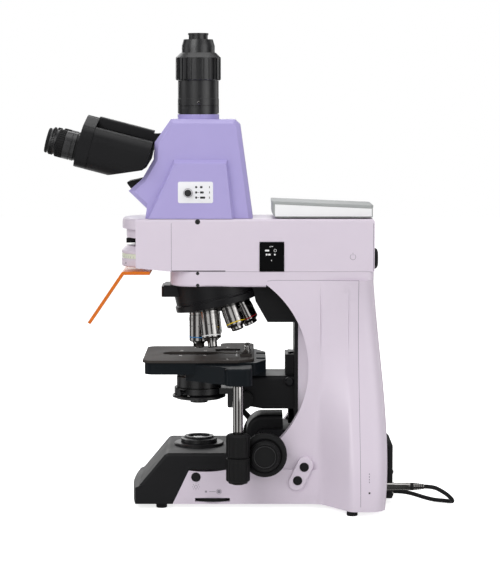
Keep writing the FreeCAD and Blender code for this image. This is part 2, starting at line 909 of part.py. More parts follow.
def epi_connector(column):
    """Socket in the rear cover and the plug in it, with the tapered strain relief."""
    start = module_rear_y - 16
    base = V(connector_x, start, connector_z)
    sleeve = 16.5
    grip = 27.0
    profile = [(0, 0), (connector_radius, 0), (connector_radius, sleeve), (plug_radius, sleeve),
               (plug_radius, grip), (plug_radius + 0.2, grip), (plug_radius + 0.2, grip + 9),
               (relief_tip_radius, grip + 26), (0, grip + 26)]
    whole = turned(profile, base, REAR)
    return whole.cut(column)


# Cable from the connector back to the power module: its route is a list chosen by hand
cable_return_x = 25.0
cable_return_z = 13.5
cable_route = [(56.0, 279.0, 25.5), (56.0, 290.0, 25.4), (54.5, 301.0, 20.0), (51.0, 311.0, 12.5),
               (45.5, 316.5, 5.4), (38.0, 315.0, 3.2), (32.0, 306.0, 3.1), (28.5, 294.0, 3.4),
               (26.5, 281.0, 6.4), (25.3, 268.0, 10.6), (25.0, 255.0, 13.3), (25.0, 242.0, 13.5)]


def cable_path():
    """Straight runs joined by tangent arcs, with the arcs' radii and the path's length."""
    points = [V(*point) for point in cable_route]
    edges = []
    radii = []
    start = points[0]
    for before, here, after in zip(points, points[1:], points[2:]):
        back = V(before - here)
        ahead = V(after - here)
        reach = 0.45 * min(back.Length, ahead.Length)
        back.normalize()
        ahead.normalize()
        half_inner = back.getAngle(ahead) / 2
        radius = reach * math.tan(half_inner)
        entry = here + back * reach
        leave = here + ahead * reach
        middle = here + (back + ahead).normalize() * (radius / math.sin(half_inner) - radius)
        edges.append(Part.LineSegment(start, entry).toShape())
        edges.append(Part.Arc(entry, middle, leave).toShape())
        radii.append(radius)
        start = leave
    edges.append(Part.LineSegment(start, points[-1]).toShape())
    return Part.Wire(edges), radii


def epi_cable():
    """Free cable of the epi-illuminator's lamp."""
    path, radii = cable_path()
    heading = V(*cable_route[1]) - V(*cable_route[0])
    section = Part.Wire(Part.makeCircle(cable_radius, V(*cable_route[0]), heading))
    tube = path.makePipeShell([section], True, False)
    print("cable length", round(path.Length, 1))
    print("cable radii", [round(radius, 1) for radius in radii])
    print("cable volume", round(tube.Volume), "against",
          round(math.pi * cable_radius ** 2 * path.Length))
    return tube


def rail_groove(clearance):
    """Cutter that clears the dovetail rail of the column guide."""
    front = column_front_y - guide_plate
    neck = rail_neck + clearance
    wide = rail_half_width + clearance
    return plan_prism([(-neck, front + 1), (-neck, front), (-wide, front - rail_depth - clearance),
                       (wide, front - rail_depth - clearance), (neck, front), (neck, front + 1)],
                      0, rail_top + 100)


def stage_bracket():
    """Black bracket that carries the stage and rides on the column's rail, hollow underneath."""
    front = column_front_y - guide_plate - slide_gap
    half = stage_bracket_half_width
    wall = stage_bracket_wall
    block = box(-stage_block_half_width, stage_block_half_width, stage_block_front_y, front,
                stage_block_bottom, stage_block_top)
    arm = side_prism([(stage_bracket_front_y, stage_bracket_bottom + 6, 3),
                      (stage_bracket_front_y, stage_bracket_top),
                      (front, stage_bracket_top), (front, stage_bracket_bottom),
                      (stage_bracket_front_y + 34, stage_bracket_bottom)], -half, half)
    top_edges = [edge for edge in arm.Edges
                 if along(edge, REAR) and edge.BoundBox.ZMin > stage_bracket_top - 1]
    arm = arm.makeFillet(5.0, top_edges)
    hollow = box(-half + wall, half - wall, stage_bracket_front_y + wall, stage_block_front_y - 1,
                 stage_bracket_bottom - 1, stage_bracket_top - wall)
    knob = turned([(0, 0), (3.0, 0), (3.0, 3), (clamp_knob_radius, 3), (clamp_knob_radius, 7),
                   (clamp_knob_radius - 2, 9), (0, 9)],
                  V(half, 112.9, 154.0), RIGHT)
    knob = knob.common(box(0, 100, 0, 200, 0, 200))
    whole = joined(arm.cut(hollow), block, knob)
    bore = cylinder(3.0 + running_fit, V(0, condenser_knob_y, condenser_knob_z), RIGHT, half + 5)
    return whole.cut([rail_groove(guide_gap), carrier_slot(), bore])


def carrier_slot():
    """Upright groove in the bracket's front for the condenser carrier's slide."""
    half = 9.0 + guide_gap
    rear = stage_bracket_front_y + 4.0
    return box(-half, half, stage_bracket_front_y - 5, rear, 0, stage_bracket_top - 4)


def stage_frame():
    """Lower stage plate: walls round the condenser's opening, and the drive housing on the right."""
    top = stage_top - plate_thickness - guide_gap
    half = frame_half_width
    wall = frame_wall
    slab = plan_prism([(-half, frame_front_y, 12), (half, frame_front_y, 12),
                       (half, frame_rear_y - 14, 3), (40, frame_rear_y, 3), (-40, frame_rear_y, 3),
                       (-half, frame_rear_y - 14, 3)], frame_bottom, top)
    opening = plan_prism([(-half + 2 * wall, frame_front_y + wall, 6),
                          (half - 2 * wall, frame_front_y + wall, 6),
                          (half - 2 * wall, 44, 6), (-half + 2 * wall, 44, 6)], 0, 200)
    lip = plan_prism([(-half, frame_front_y, 12), (half, frame_front_y, 12),
                      (half, frame_front_y + wall, 4), (-half, frame_front_y + wall, 4)],
                     frame_lip_z, frame_bottom + 1)
    foot = box(-stage_bracket_half_width, stage_bracket_half_width, 50, frame_rear_y,
               stage_bracket_top, frame_bottom + 1)
    drive = plan_prism([(half - 16, -22, 4), (drive_box_x - 12, drive_box_front_y, 7),
                        (drive_box_x, drive_box_front_y + 2, 7), (drive_box_x, drive_box_rear_y, 9),
                        (half - 16, drive_box_rear_y, 4)], drive_box_bottom, drive_box_top)
    edges = [edge for edge in drive.Edges if edge.BoundBox.ZMin > drive_box_top - 0.01]
    drive = drive.makeFillet(2.0, edges)
    bore = cylinder(drive_rod_radius + running_fit, V(drive_x, drive_y, drive_box_bottom - 1), UP,
                    13)
    whole = joined(slab.cut(opening), lip, foot, drive)
    windows = [box(x - 7, x + 7, frame_rear_y - 12, frame_rear_y + 1, frame_bottom + 3, top + 1)
               for x in (-25, 25)]
    return whole.cut([bore] + windows)


def stage_plate():
    """Moving top plate: rounded front corners, a long slot, and a strip to the left behind."""
    half = plate_half_width
    radius = plate_corner_radius
    bottom = stage_top - plate_thickness
    plate = plan_prism([(-half, plate_front_y, radius), (half, plate_front_y, radius),
                        (half, plate_rear_y - 20, 4), (half - 20, plate_rear_y, 4),
                        (-plate_left_reach, plate_rear_y, radius),
                        (-plate_left_reach, plate_strip_y, radius), (-half, plate_strip_y, 2)],
                       bottom, stage_top)
    edges = [edge for edge in plate.Edges if edge.BoundBox.ZMin > stage_top - 0.01]
    plate = plate.makeFillet(0.8, edges)
    slot_half = stage_slot_half_width
    slot = plan_prism([(-slot_half, stage_slot_front_y, slot_half - 0.5),
                       (slot_half, stage_slot_front_y, slot_half - 0.5),
                       (slot_half, stage_slot_rear_y, slot_half - 0.5),
                       (-slot_half, stage_slot_rear_y, slot_half - 0.5)], 0, 300)
    return plate.cut(slot)


def specimen_holder():
    """Sliding holder: base bar with two thumb screws, fixed jaw on the left."""
    low = stage_top + guide_gap
    half = holder_half_width
    bar = plan_prism([(-half, holder_base_y, 2), (half, holder_base_y, 2),
                      (half, holder_base_y + holder_base_depth, 3),
                      (-half, holder_base_y + holder_base_depth, 3)], low,
                     low + holder_base_height)
    jaw_x = -half
    jaw = plan_prism([(jaw_x, holder_base_y + 1), (jaw_x, holder_jaw_y + 4, 3),
                      (jaw_x + 8, holder_jaw_y, 2), (jaw_x + 12, holder_jaw_y + 3, 2),
                      (jaw_x + 6, holder_jaw_y + 8, 2), (jaw_x + 6, holder_base_y + 1)], low,
                     low + holder_jaw_height)
    screws = []
    for x in (-holder_screw_pitch / 2, holder_screw_pitch / 2):
        base = V(x, holder_base_y + 9, low + holder_base_height)
        radius = holder_screw_radius
        height = holder_screw_height - holder_base_height
        screw = turned([(0, 0), (radius * 0.7, 0), (radius * 0.7, 1.5), (radius, 1.5),
                        (radius, height - 3.2), (radius * 0.75, height - 2.6),
                        (radius * 0.75, height - 0.8), (radius * 0.55, height), (0, height)],
                       base, UP)
        screws.append(screw)
    pivot = V(finger_pivot_x, holder_base_y + 5, low + holder_base_height)
    post = joined(cylinder(2.6, pivot, UP, 0.6), cylinder(1.5, pivot, UP, finger_thickness + 1.4))
    return joined(bar, jaw, post, *screws)


def holder_finger():
    """Sprung finger of the holder: a curved arm on its pivot that presses the slide."""
    low = stage_top + guide_gap + holder_base_height + 0.6 + 0.1
    x = finger_pivot_x
    y = holder_base_y + 5
    hub = cylinder(3.4, V(x, y, low), UP, finger_thickness)
    arm = plan_prism([(x + 3.2, y), Via(x + 9.5, y - 18), (x + 1, y - 36), (x - 1.5, y - 34),
                      Via(x + 6.0, y - 18), (x - 0.2, y)], low, low + finger_thickness)
    bore = cylinder(1.5 + running_fit, V(x, y, low - 1), UP, 4)
    return joined(hub, arm).cut(bore)


def y_drive_knob():
    """Upper drive knob, which moves the plate, with its hollow chrome rod and pinion."""
    bore = drive_core_radius + running_fit
    radius = drive_knob_radius
    base = V(drive_x, drive_y, upper_knob_bottom)
    height = upper_knob_top - upper_knob_bottom
    top = drive_box_bottom + 11 - upper_knob_bottom
    profile = [(bore, 0), (radius - 1, 0), (radius, 1), (radius, height - 2), (radius - 2, height),
               (drive_rod_radius, height), (drive_rod_radius, top), (bore, top)]
    whole = turned(profile, base, UP)
    return whole.cut(grooves(radius, base + V(0, 0, 1.5), UP, height - 4, drive_knob_ribs, 0.45))


def x_drive_knob():
    """Lower drive knob, which moves the holder, with its core rod and stepped end cap."""
    radius = drive_knob_radius
    base = V(drive_x, drive_y, lower_knob_bottom - 4)
    height = lower_knob_top - lower_knob_bottom
    top = drive_box_bottom + 9 - lower_knob_bottom + 4
    profile = [(0, 0), (radius * 0.5, 0), (radius * 0.55, 1.6), (radius * 0.8, 1.6),
               (radius * 0.8, 4), (radius - 1, 4), (radius, 5), (radius, height + 3),
               (radius - 1, height + 4), (drive_core_radius, height + 4), (drive_core_radius, top),
               (0, top)]
    whole = turned(profile, base, UP)
    return whole.cut(grooves(radius, base + V(0, 0, 5.5), UP, height - 3, drive_knob_ribs, 0.45))


def condenser_carrier():
    """Arm with the ring that holds the condenser, and its upright slide in the stage bracket."""
    inner = condenser_neck_radius + 0.01
    hoop = ring(carrier_ring_radius, condenser_neck_radius, V(0, 0, carrier_bottom), UP,
                carrier_top - carrier_bottom)
    arm = side_prism([(0, carrier_bottom), (0, carrier_top), (stage_bracket_front_y - 0.4,
                      carrier_top), (stage_bracket_front_y - 0.4, carrier_block_bottom, 2),
                      (carrier_block_front_y, carrier_block_bottom, 2),
                      (carrier_block_front_y, carrier_bottom)], -17, 17)
    slide_half = 9.0
    slide = box(-slide_half, slide_half, stage_bracket_front_y - 1, stage_bracket_front_y + 3.8,
                carrier_block_bottom + 2, carrier_top - 1)
    bore = cylinder(inner, V(0, 0, 0), UP, 300)
    screws = []
    for angle in (215, 325):
        screw = turned([(0, 0), (2.2, 0), (2.2, 9), (3.6, 9), (3.6, 15), (0, 15)],
                       V(0, 0, 0), RIGHT)
        screw.translate(V(carrier_ring_radius - 3, 0, (carrier_top + carrier_bottom) / 2))
        screw.rotate(V(0, 0, 0), UP, angle)
        screws.append(screw)
    return joined(hoop, arm, slide, *screws).cut(bore)


def condenser_body():
    """Condenser: rim with its mount, neck in the carrier's ring, and the top lens."""
    neck = condenser_neck_radius
    profile = [(condenser_lens_radius, dial_top + 0.3), (neck, dial_top + 0.3),
               (neck, condenser_rim_bottom), (condenser_radius, condenser_rim_bottom),
               (condenser_radius, condenser_rim_top - 2), (condenser_radius - 2, condenser_rim_top),
               (condenser_top_radius + 8, condenser_rim_top), (condenser_top_radius + 2, 166),
               (condenser_top_radius, 169), (condenser_top_radius, condenser_top),
               (condenser_lens_radius, condenser_top)]
    shell = turned(profile, V(0, 0, 0), UP)
    radius = condenser_lens_radius
    lens = turned([(0, 0), (radius, 0), (radius, 3), Via(radius * 0.6, 5.4), (0, 6.2)],
                  V(0, 0, condenser_top - 6.5), UP)
    pin = ring(7, 5, V(0, 0, dial_bottom), UP, dial_top - dial_bottom + 0.3)
    foot = ring(condenser_foot_radius, 8, V(0, 0, condenser_foot_z), UP,
                dial_bottom - condenser_foot_z - slide_gap)
    stem = ring(7, 5, V(0, 0, condenser_foot_z), UP, dial_top - condenser_foot_z + 1)
    plate = ring(condenser_foot_radius, 5, V(0, 0, condenser_foot_z), UP, 1.5)
    floor = ring(neck, 5, V(0, 0, dial_top + 0.3), UP, 1.5)
    return joined(shell, pin, foot, stem, plate, floor, lens)


def aperture_dial():
    """Aperture dial under the condenser: a flat disc with bevelled rims."""
    hole = 7 + running_fit
    top = dial_top
    profile = [(hole, dial_bottom), (dial_radius - 5, dial_bottom), (dial_radius, dial_bottom + 2.2),
               (dial_radius, top - 2.2), (dial_radius - 4, top), (hole, top)]
    return turned(profile, V(0, 0, 0), UP)


def condenser_knob():
    """Focus knob of the condenser on the right of the stage bracket, with its shaft."""
    half = stage_bracket_half_width
    base = V(half - 6, condenser_knob_y, condenser_knob_z)
    radius = condenser_knob_radius
    profile = [(0, 0), (3.0, 0), (3.0, 6 + slide_gap), (radius, 6 + slide_gap), (radius, 16),
               (radius - 1.5, 17.5), (0, 17.5)]
    whole = turned(profile, base, RIGHT)
    return whole.cut(grooves(radius, base + V(7.5, 0, 0), RIGHT, 8, 30, 0.5))


def turret_frame():
    """Placement of the nosepiece: origin in the pitch circle's middle, Z up along its axis."""
    lean = math.radians(turret_lean)
    centre = V(0, pitch_radius * math.cos(lean), shoulder_z + pitch_radius * math.sin(lean))
    return FreeCAD.Placement(centre, FreeCAD.Rotation(RIGHT, turret_lean))


def turret_axis():
    """Direction of the nosepiece's axis, upwards."""
    return turret_frame().Rotation.multVec(UP)


def seat_depth(radius):
    """Height of the turret's lower cone at a radius, above the pitch circle."""
    return (radius - pitch_radius) * math.tan(math.radians(turret_lean))


def nosepiece_mount():
    """Fixed upper half of the nosepiece below the arm beam, with its front block and bearing."""
    frame = turret_frame()
    drum = cylinder(mount_radius, V(0, 0, turret_depth + slide_gap), UP, 40)
    drum.Placement = frame
    below = box(-100, 100, -100, 150, 200, beam_bottom)
    drum = drum.common(below)
    block = plan_prism([(-mount_block_half_width, mount_block_front_y, 4),
                        (mount_block_half_width, mount_block_front_y, 4),
                        (mount_block_half_width, mount_block_rear_y),
                        (-mount_block_half_width, mount_block_rear_y)],
                       mount_block_bottom, beam_bottom)
    step = box(-mount_block_half_width - 1, mount_block_half_width + 1, mount_block_front_y - 1,
               mount_block_front_y + 3, beam_bottom - 1.5, beam_bottom + 1)
    spindle = cylinder(spindle_radius, V(0, 0, 2.0), UP, turret_depth)
    spindle.Placement = frame
    return joined(drum, block.cut(step), spindle)


def nosepiece_turret():
    """Turning half of the nosepiece with six threaded places for objectives."""
    frame = turret_frame()
    outer = turret_radius
    depth = turret_depth
    hub = spindle_radius + running_fit
    profile = [(hub, -3.5), (14, -3.5), (pitch_radius - objective_radius - 1, seat_depth(14)),
               (outer, seat_depth(outer)), (outer + 0.0, depth - 3), (outer - 2, depth - 1.5),
               (outer - 2, depth), (hub, depth)]
    disc = turned(profile, V(0, 0, 0), UP)
    disc.Placement = frame
    bore = cylinder(objective_thread_radius, V(0, 0, shoulder_z - 30), UP, 30 + objective_thread)
    pocket = cylinder(objective_thread_radius - 2, V(0, 0, shoulder_z - 10), UP, 60)
    bores = around(bore, frame.Base, turret_axis(), objective_places)
    bores += around(pocket, frame.Base, turret_axis(), objective_places)
    return disc.cut(bores)


def objective(place, length, barrel, tip_radius, tip_length, ring_height):
    """Objective at one place of the turret: thread, ribbed shoulder, barrel, ring groove, nose."""
    radius = objective_radius
    groove = 0.35
    profile = [(0, -objective_thread), (objective_thread_radius, -objective_thread),
               (objective_thread_radius, 0), (radius, 0), (radius, 2.2), (radius - 0.4, 2.6),
               (radius - 0.4, 3.4), (radius, 3.8), (radius, ring_height), (radius - groove,
               ring_height), (radius - groove, ring_height + 1.4), (radius, ring_height + 1.4),
               (radius, barrel - 1.5), (radius - 1.2, barrel), (tip_radius + 1.4, barrel),
               (tip_radius, barrel + tip_length * 0.35), (tip_radius, length - 0.8),
               (tip_radius * 0.82, length), (0, length)]
    body = turned(profile, V(0, 0, shoulder_z), DOWN)
    angle = place * 360.0 / objective_places
    body.rotate(turret_frame().Base, turret_axis(), angle)
    return body


def objectives():
    """The five objectives: place, length, barrel, nose radius, nose length and ring height."""
    table = {"objective_40x": (0, 44.7, 36.7, 7.0, 8.0, 30.2),
             "objective_100x": (1, 44.8, 34.0, 6.0, 10.0, 29.6),
             "objective_10x": (2, 30.5, 25.0, 7.6, 5.5, 20.4),
             "objective_4x": (3, 30.0, 24.6, 8.6, 5.4, 20.4),
             "objective_20x": (5, 43.0, 35.0, 7.2, 8.0, 29.0)}
    return {name: objective(*sizes) for name, sizes in table.items()}


def arm_beam():
    """Painted beam above the column that reaches forward over the stage."""
    half = beam_half_width
    plan = plan_prism([(-half, beam_front_y, beam_front_radius),
                       (half, beam_front_y, beam_front_radius), (half, beam_rear_y, 8),
                       (-half, beam_rear_y, 8)], beam_bottom, beam_top)
    low = [edge for edge in plan.Edges if edge.BoundBox.ZMax < beam_bottom + 0.01
           and edge.BoundBox.YMin < beam_step_y]
    plan = plan.makeFillet(3.0, low)
    over = box(-half - 1, half + 1, beam_step_y, beam_rear_y + 1, beam_bottom - 1, column_top)
    return plan.cut(over)


def lock_notch(y, z, radius, half_width):
    """Pair of cutters for the small round notches of the lock screws in both side faces."""
    notch = cylinder(radius, V(half_width - 4, y, z), RIGHT, 10)
    return both_sides(notch)


def epi_housing():
    """Epi-illuminator housing: long box with a rounded nose over the open filter turret."""
    half = epi_half_width
    side = side_prism([(epi_cheek_y, epi_bottom + 4.2), (beam_front_y, epi_bottom),
                       (epi_rear_y, epi_bottom), (epi_rear_y, epi_top),
                       (epi_cheek_y, epi_top)], -half, half)
    nose = plan_prism([(-half, epi_cheek_y + 5), (-half, epi_cheek_y), Via(0, epi_lip_y),
                       (half, epi_cheek_y), (half, epi_cheek_y + 5)], epi_lip_bottom, epi_top)
    inset = 6.0
    lip_y = epi_brow_y
    brow = plan_prism([(-half + inset, epi_cheek_y + 5), (-half + inset, epi_cheek_y),
                       Via(0, lip_y), (half - inset, epi_cheek_y), (half - inset, epi_cheek_y + 5)],
                      epi_brow_bottom, epi_lip_bottom)
    stud = cylinder(shield_stud_radius, V(shield_stud_x, shield_stud_y,
                    epi_bottom - shield_seat_drop), UP, epi_edge_radius + shield_seat_drop)
    body = joined(side, nose, brow, *both_sides(stud))
    long_edges = [edge for edge in body.Edges
                  if edge.BoundBox.ZMin > epi_top - 0.01 and edge.BoundBox.ZLength < 0.01]
    body = body.makeFillet(epi_edge_radius, long_edges)
    room = filter_turret_radius + slide_gap
    low = filter_turret_bottom - slide_gap
    high = filter_turret_top + slide_gap
    hollow = cylinder(room, V(0, filter_turret_y, low), UP, high - low)
    front_room = box(-half - 1, half + 1, epi_lip_y - 5, epi_cheek_y + 0.01, 0, epi_brow_bottom)
    block_half = 11.0
    shutter_room = box(-block_half, block_half, epi_cheek_y - 0.01, epi_cheek_y + 26,
                       shutter_knob_z - 4.2 - guide_gap, shutter_knob_z + 4.2 + guide_gap)
    side_slot = box(half - slider_depth - guide_gap, half + 1, slider_front_y - guide_gap,
                    slider_rear_y + guide_gap, slider_bottom - 2, slider_top + guide_gap)
    light_path = cylinder(14.0, V(0, 0, epi_bottom - 1), UP, epi_top)
    cap_seat = cylinder(rear_cap_radius - 3, V(0, epi_rear_y - 5, rear_cap_z), REAR, 6)
    body = body.cut([hollow, front_room, shutter_room, side_slot, light_path, cap_seat]
                    + lock_notch(0, epi_top - 3.5, 3.2, half))
    axle = cylinder(filter_axle_radius, V(0, filter_turret_y, low - 1), UP, high - low + 2)
    return joined(body, axle)


def filter_turret():
    """Turning filter turret with its dial rim and six filter cubes in their bays."""
    base = V(0, filter_turret_y, filter_turret_bottom)
    height = filter_turret_top - filter_turret_bottom
    outer = filter_turret_radius
    chamfer = filter_turret_chamfer
    profile = [(filter_axle_radius + running_fit, 0), (outer - 1, 0), (outer, 1), (outer, 9.5),
               (outer - 0.8, 10.0),
               (outer - 0.8, 16.5), (outer, 17.0), (outer, height - chamfer),
               (outer - chamfer, height), (filter_axle_radius + running_fit, height)]
    disc = turned(profile, base, UP)
    half = filter_cube / 2 + 0.01
    bay = box(-half, half, filter_turret_y - filter_pitch - half,
              filter_turret_y - filter_pitch + half, filter_turret_bottom + 2,
              filter_turret_top + 1)
    light = cylinder(5.5, V(0, filter_turret_y - filter_pitch, filter_turret_bottom - 1), UP, 5)
    centre = V(0, filter_turret_y, 0)
    bays = around(bay, centre, UP, filter_count, 30)
    lights = around(light, centre, UP, filter_count, 30)
    cube = box(-half, half, filter_turret_y - filter_pitch - half,
               filter_turret_y - filter_pitch + half, filter_turret_bottom + 2,
               filter_turret_bottom + 2 + filter_cube)
    window = cylinder(5.0, V(0, filter_turret_y - filter_pitch, 0), UP, 400)
    cubes = around(cube.cut(window), centre, UP, filter_count, 30)
    return group(disc.cut(bays + lights), *cubes)


def shutter_slider():
    """Black shutter block with its knob, which slides sideways in the nose."""
    z = shutter_knob_z
    body = box(-4.5, 4.5, epi_cheek_y - 3, epi_cheek_y + 20, z - 4.2, z + 4.2)
    half = shutter_knob_width / 2
    knob = front_prism([(-half, z - shutter_knob_height / 2, 2), (half, z - shutter_knob_height / 2,
                        2), (half, z + shutter_knob_height / 2, 2),
                        (-half, z + shutter_knob_height / 2, 2)], epi_brow_y, epi_cheek_y - 3)
    return joined(body, knob)


def arm_slider():
    """Black slider in the right side of the housing, with its rounded face plate."""
    half = epi_half_width
    face = side_prism([(slider_front_y, slider_bottom - 0.4), (slider_front_y, slider_top, 3.5),
                       (slider_rear_y, slider_top, 3.5), (slider_rear_y, slider_bottom - 0.4)],
                      half - slider_depth, half + slider_stand)
    return face


def rear_cap():
    """Round black cap of the lamp port at the back of the housing."""
    radius = rear_cap_radius
    profile = [(0, -5), (radius - 3, -5), (radius - 3, 0), (radius, 0), (radius, rear_cap_depth - 3),
               (radius - 1.5, rear_cap_depth - 1), (radius - 4, rear_cap_depth), (0, rear_cap_depth)]
    return turned(profile, V(0, epi_rear_y, rear_cap_z), REAR)


def uv_shield():
    """Orange shield below the nose: flat tab and a sloping sheet."""
    thick = shield_thickness
    slope = math.radians(shield_slope)
    top = epi_bottom - shield_seat_drop
    end_y = shield_bend_y - shield_length * math.cos(slope)
    end_z = top - shield_length * math.sin(slope)
    off_y = thick * math.sin(slope)
    off_z = thick * math.cos(slope)
    corner_y = shield_bend_y + thick * math.tan(slope / 2)
    outline_points = [(shield_tab_rear_y, top), (shield_bend_y, top, 4), (end_y, end_z),
                      (end_y + off_y, end_z - off_z), (corner_y, top - thick, 1),
                      (shield_tab_rear_y, top - thick)]
    half = shield_half_width
    sheet = side_prism(outline_points, -half, half)
    corners = front_prism([(-half, end_z - 5, 9), (half, end_z - 5, 9), (half, top + 5),
                           (-half, top + 5)], -200, 0)
    return sheet.common(corners)


def control_box():
    """White wedge-shaped control box on the arm, on four low feet."""
    low = epi_top + box_foot
    half = box_half_width
    body = side_prism([(box_front_y + 3.5, low), (box_rear_y, low), (box_rear_y, box_rear_top),
                       (box_front_y, box_front_top), (box_front_y, low + 6)], -half, half)
    upright = [edge for edge in body.Edges
               if not along(edge, RIGHT) and abs(edge.BoundBox.XLength) < 0.01
               and edge.BoundBox.YLength < 4]
    body = body.makeFillet(4.0, upright)
    feet_of_box = [cylinder(5, V(x, y, epi_top), UP, box_foot)
                   for x in (-half + 14, half - 14) for y in (box_front_y + 18, box_rear_y - 18)]
    return joined(body, *feet_of_box)


def control_box_lid():
    """Grey lid that covers the control box."""
    half = box_half_width + box_lid_lap
    rise = box_lid_lap * (box_front_top - box_rear_top) / (box_rear_y - box_front_y)
    front_y = box_front_y - box_lid_lap
    rear_y = box_rear_y + box_lid_lap
    lid = side_prism([(rear_y, box_rear_top - rise), (front_y, box_front_top + rise),
                      (front_y, box_front_top + box_lid), (rear_y, box_rear_top + box_lid)],
                     -half, half)
    upright = [edge for edge in lid.Edges if along(edge, UP)]
    lid = lid.makeFillet(5.0, upright)
    return lid


def head_housing():
    """Painted trinocular head: tapered prism with side bosses, a tilt mouth and the tube collar."""
    half = head_half_width
    side = [(-64.2, head_bottom), (-62.6, head_bottom + 12), (-85, 390), (-68, 405), (-54, 429),
            (-52.6, tilt_z + 17.8), (-32.7, head_top), (45.5, head_top - 0.5), (52, head_top - 6.6),
            (67.6, head_bottom)]
    core = side_prism(side, -half, half)

    def brow(edge):
        """Slanted edges in front of and behind the side faces."""
        bounds = edge.BoundBox
        beside = abs(abs(bounds.XMin) - half) < 0.01 and bounds.XLength < 0.01
        return beside and bounds.ZMax > head_bottom + 20

    core = core.makeChamfer(5.0, [edge for edge in core.Edges if brow(edge)])
    boss = head_boss_half_width
    side_boss = Part.makeLoft([
        outline([(-64, head_bottom), (-29, head_boss_top + 8), (38, head_boss_top + 8),
                 (49, head_bottom)], lambda a, b: V(half - 5, a, b)),
        outline([(-60, head_bottom), (-28, head_boss_top), (35, head_boss_top),
                 (42, head_bottom)], lambda a, b: V(boss, a, b))], True, True)
    collar = cylinder(collar_radius, V(0, 0, head_top - 2), UP, collar_top - head_top + 2)
    body = joined(core, collar, *both_sides(side_boss))
    mouth = head_mouth_half_width
    cavity = cylinder(drum_radius + 0.4, V(-mouth, tilt_y, tilt_z), RIGHT, 2 * mouth)
    front_cut = side_prism([(-90, 391.0), (-76, 391.0), (-55, 408), (tilt_y - 10, 430),
                            (tilt_y, tilt_z + 30), (tilt_y - 16, head_top - 4), (-90, head_top - 4)],
                           -mouth, mouth)
    pin_bore = cylinder(tilt_pin_radius + running_fit, V(-mouth - 8, tilt_y, tilt_z), RIGHT,
                        2 * mouth + 16)
    light_path = cylinder(barrel_bore, V(0, 8, head_bottom - 1), UP, 80)
    tube_path = cylinder(barrel_bore, V(0, 0, head_top - 30), UP, 60)
    prism_half = splitter_prism / 2 + guide_gap
    gallery = box(-prism_half - splitter_travel, half - 6, splitter_y - prism_half,
                  splitter_y + prism_half, splitter_z - prism_half, splitter_z + prism_half)
    rod_bore = cylinder(splitter_rod_radius + running_fit, V(0, splitter_y, splitter_z), RIGHT, 60)
    return body.cut([cavity, front_cut, pin_bore, light_path, tube_path, gallery, rod_bore])


def head_lip():
    """Black lower lip of the tilt opening."""
    half = head_mouth_half_width - 0.2
    return side_prism([(-88.5, 400.5, 1.5), (-83, 393), (-76, 391.05), (-62, 402.38), (-68, 405)],
                      -half, half)


def splitter_rod():
    """Pull rod of the beam splitter with its knob and the prism that it carries."""
    knob_x = head_boss_half_width + 0.4
    rod = cylinder(splitter_rod_radius, V(splitter_prism / 2 - 1, splitter_y, splitter_z), RIGHT,
                   knob_x - splitter_prism / 2 + 1)
    radius = splitter_knob_radius
    knob = turned([(0, -1), (radius - 0.5, 0), (radius, 0.6), (radius, 3.6), (radius - 0.8, 4.4),
                   (0, 4.4)], V(knob_x, splitter_y, splitter_z), RIGHT)
    half = splitter_prism / 2
    prism = side_prism([(splitter_y - half, splitter_z - half),
                        (splitter_y + half, splitter_z - half),
                        (splitter_y - half, splitter_z + half)], -half, half)
    return joined(rod, knob, prism)


def camera_adapter():
    """Black camera tube on the collar: barrel, inner tube, neck and threaded port."""
    bore = barrel_bore
    outer = barrel_radius
    base = collar_top
    profile = [(bore, 0), (outer - 1.6, 0), (outer - 1.6, 0.9), (outer, 0.9), (outer, 9.8),
               (outer - 0.6, 10.0), (outer - 0.6, 10.6), (outer, 10.8), (outer, 19.0),
               (outer - 0.3, 19.3), (outer - 0.3, barrel_top - base),
               (adapter_neck_radius, barrel_top - base),
               (adapter_neck_radius, adapter_neck_top - base),
               (adapter_cone_radius, adapter_cone_top - base),
               (port_neck_radius, adapter_cone_top - base),
               (port_neck_radius, port_neck_top - base), (port_flange_radius, port_neck_top - base),
               (port_flange_radius, port_top - base), (port_bore, port_top - base),
               (port_bore, adapter_cone_top - base - 4), (bore, adapter_cone_top - base - 8)]
    return turned(profile, V(0, 0, base), UP)


def adapter_ring():
    """Ribbed focus ring of the camera adapter."""
    inner = adapter_neck_radius + running_fit
    outer = focus_ring_radius
    low = barrel_top + slide_gap
    height = focus_ring_top - low
    profile = [(inner, 0), (outer - 1.2, 0), (outer, 1.2), (outer, height - 1),
               (outer - 1, height), (adapter_neck_radius + 1.5, height + 5), (inner, height + 5)]
    whole = turned(profile, V(0, 0, low), UP)
    return whole.cut(grooves(outer, V(0, 0, low - 0.1), UP, height - 2, focus_ring_ribs, 1.0, 0.4))


def tube_frame():
    """Placement of the binocular body: origin on the hinge at the plate's face, Z to the eye."""
    return FreeCAD.Placement(V(0, hinge_y, hinge_z), FreeCAD.Rotation(RIGHT, 90 - view_tilt))


def placed(shape):
    """Move a shape from the binocular body's own frame to the instrument's."""
    copy = shape.copy()
    copy.Placement = tube_frame().multiply(copy.Placement)
    return copy


def housing_profile(extra=0.0):
    """Outline of the right prism housing seen along the tubes, with a margin all round."""
    half = tube_spacing / 2
    radius = housing_radius + extra
    slope = math.radians(hinge_angle)
    inner_low = -(tube_drop + radius * 0.55)
    inner = math.tan(slope)
    return [(-inner_low * inner - extra, inner_low), (half * 0.62, -tube_drop - radius, 9),
            (half + radius, -tube_drop - radius * 0.9, 15), (half + radius, -4, 17),
            (half * 0.45, plate_top + extra, 5), (plate_inner - extra, plate_top + extra),
            (plate_inner - extra, -12)]


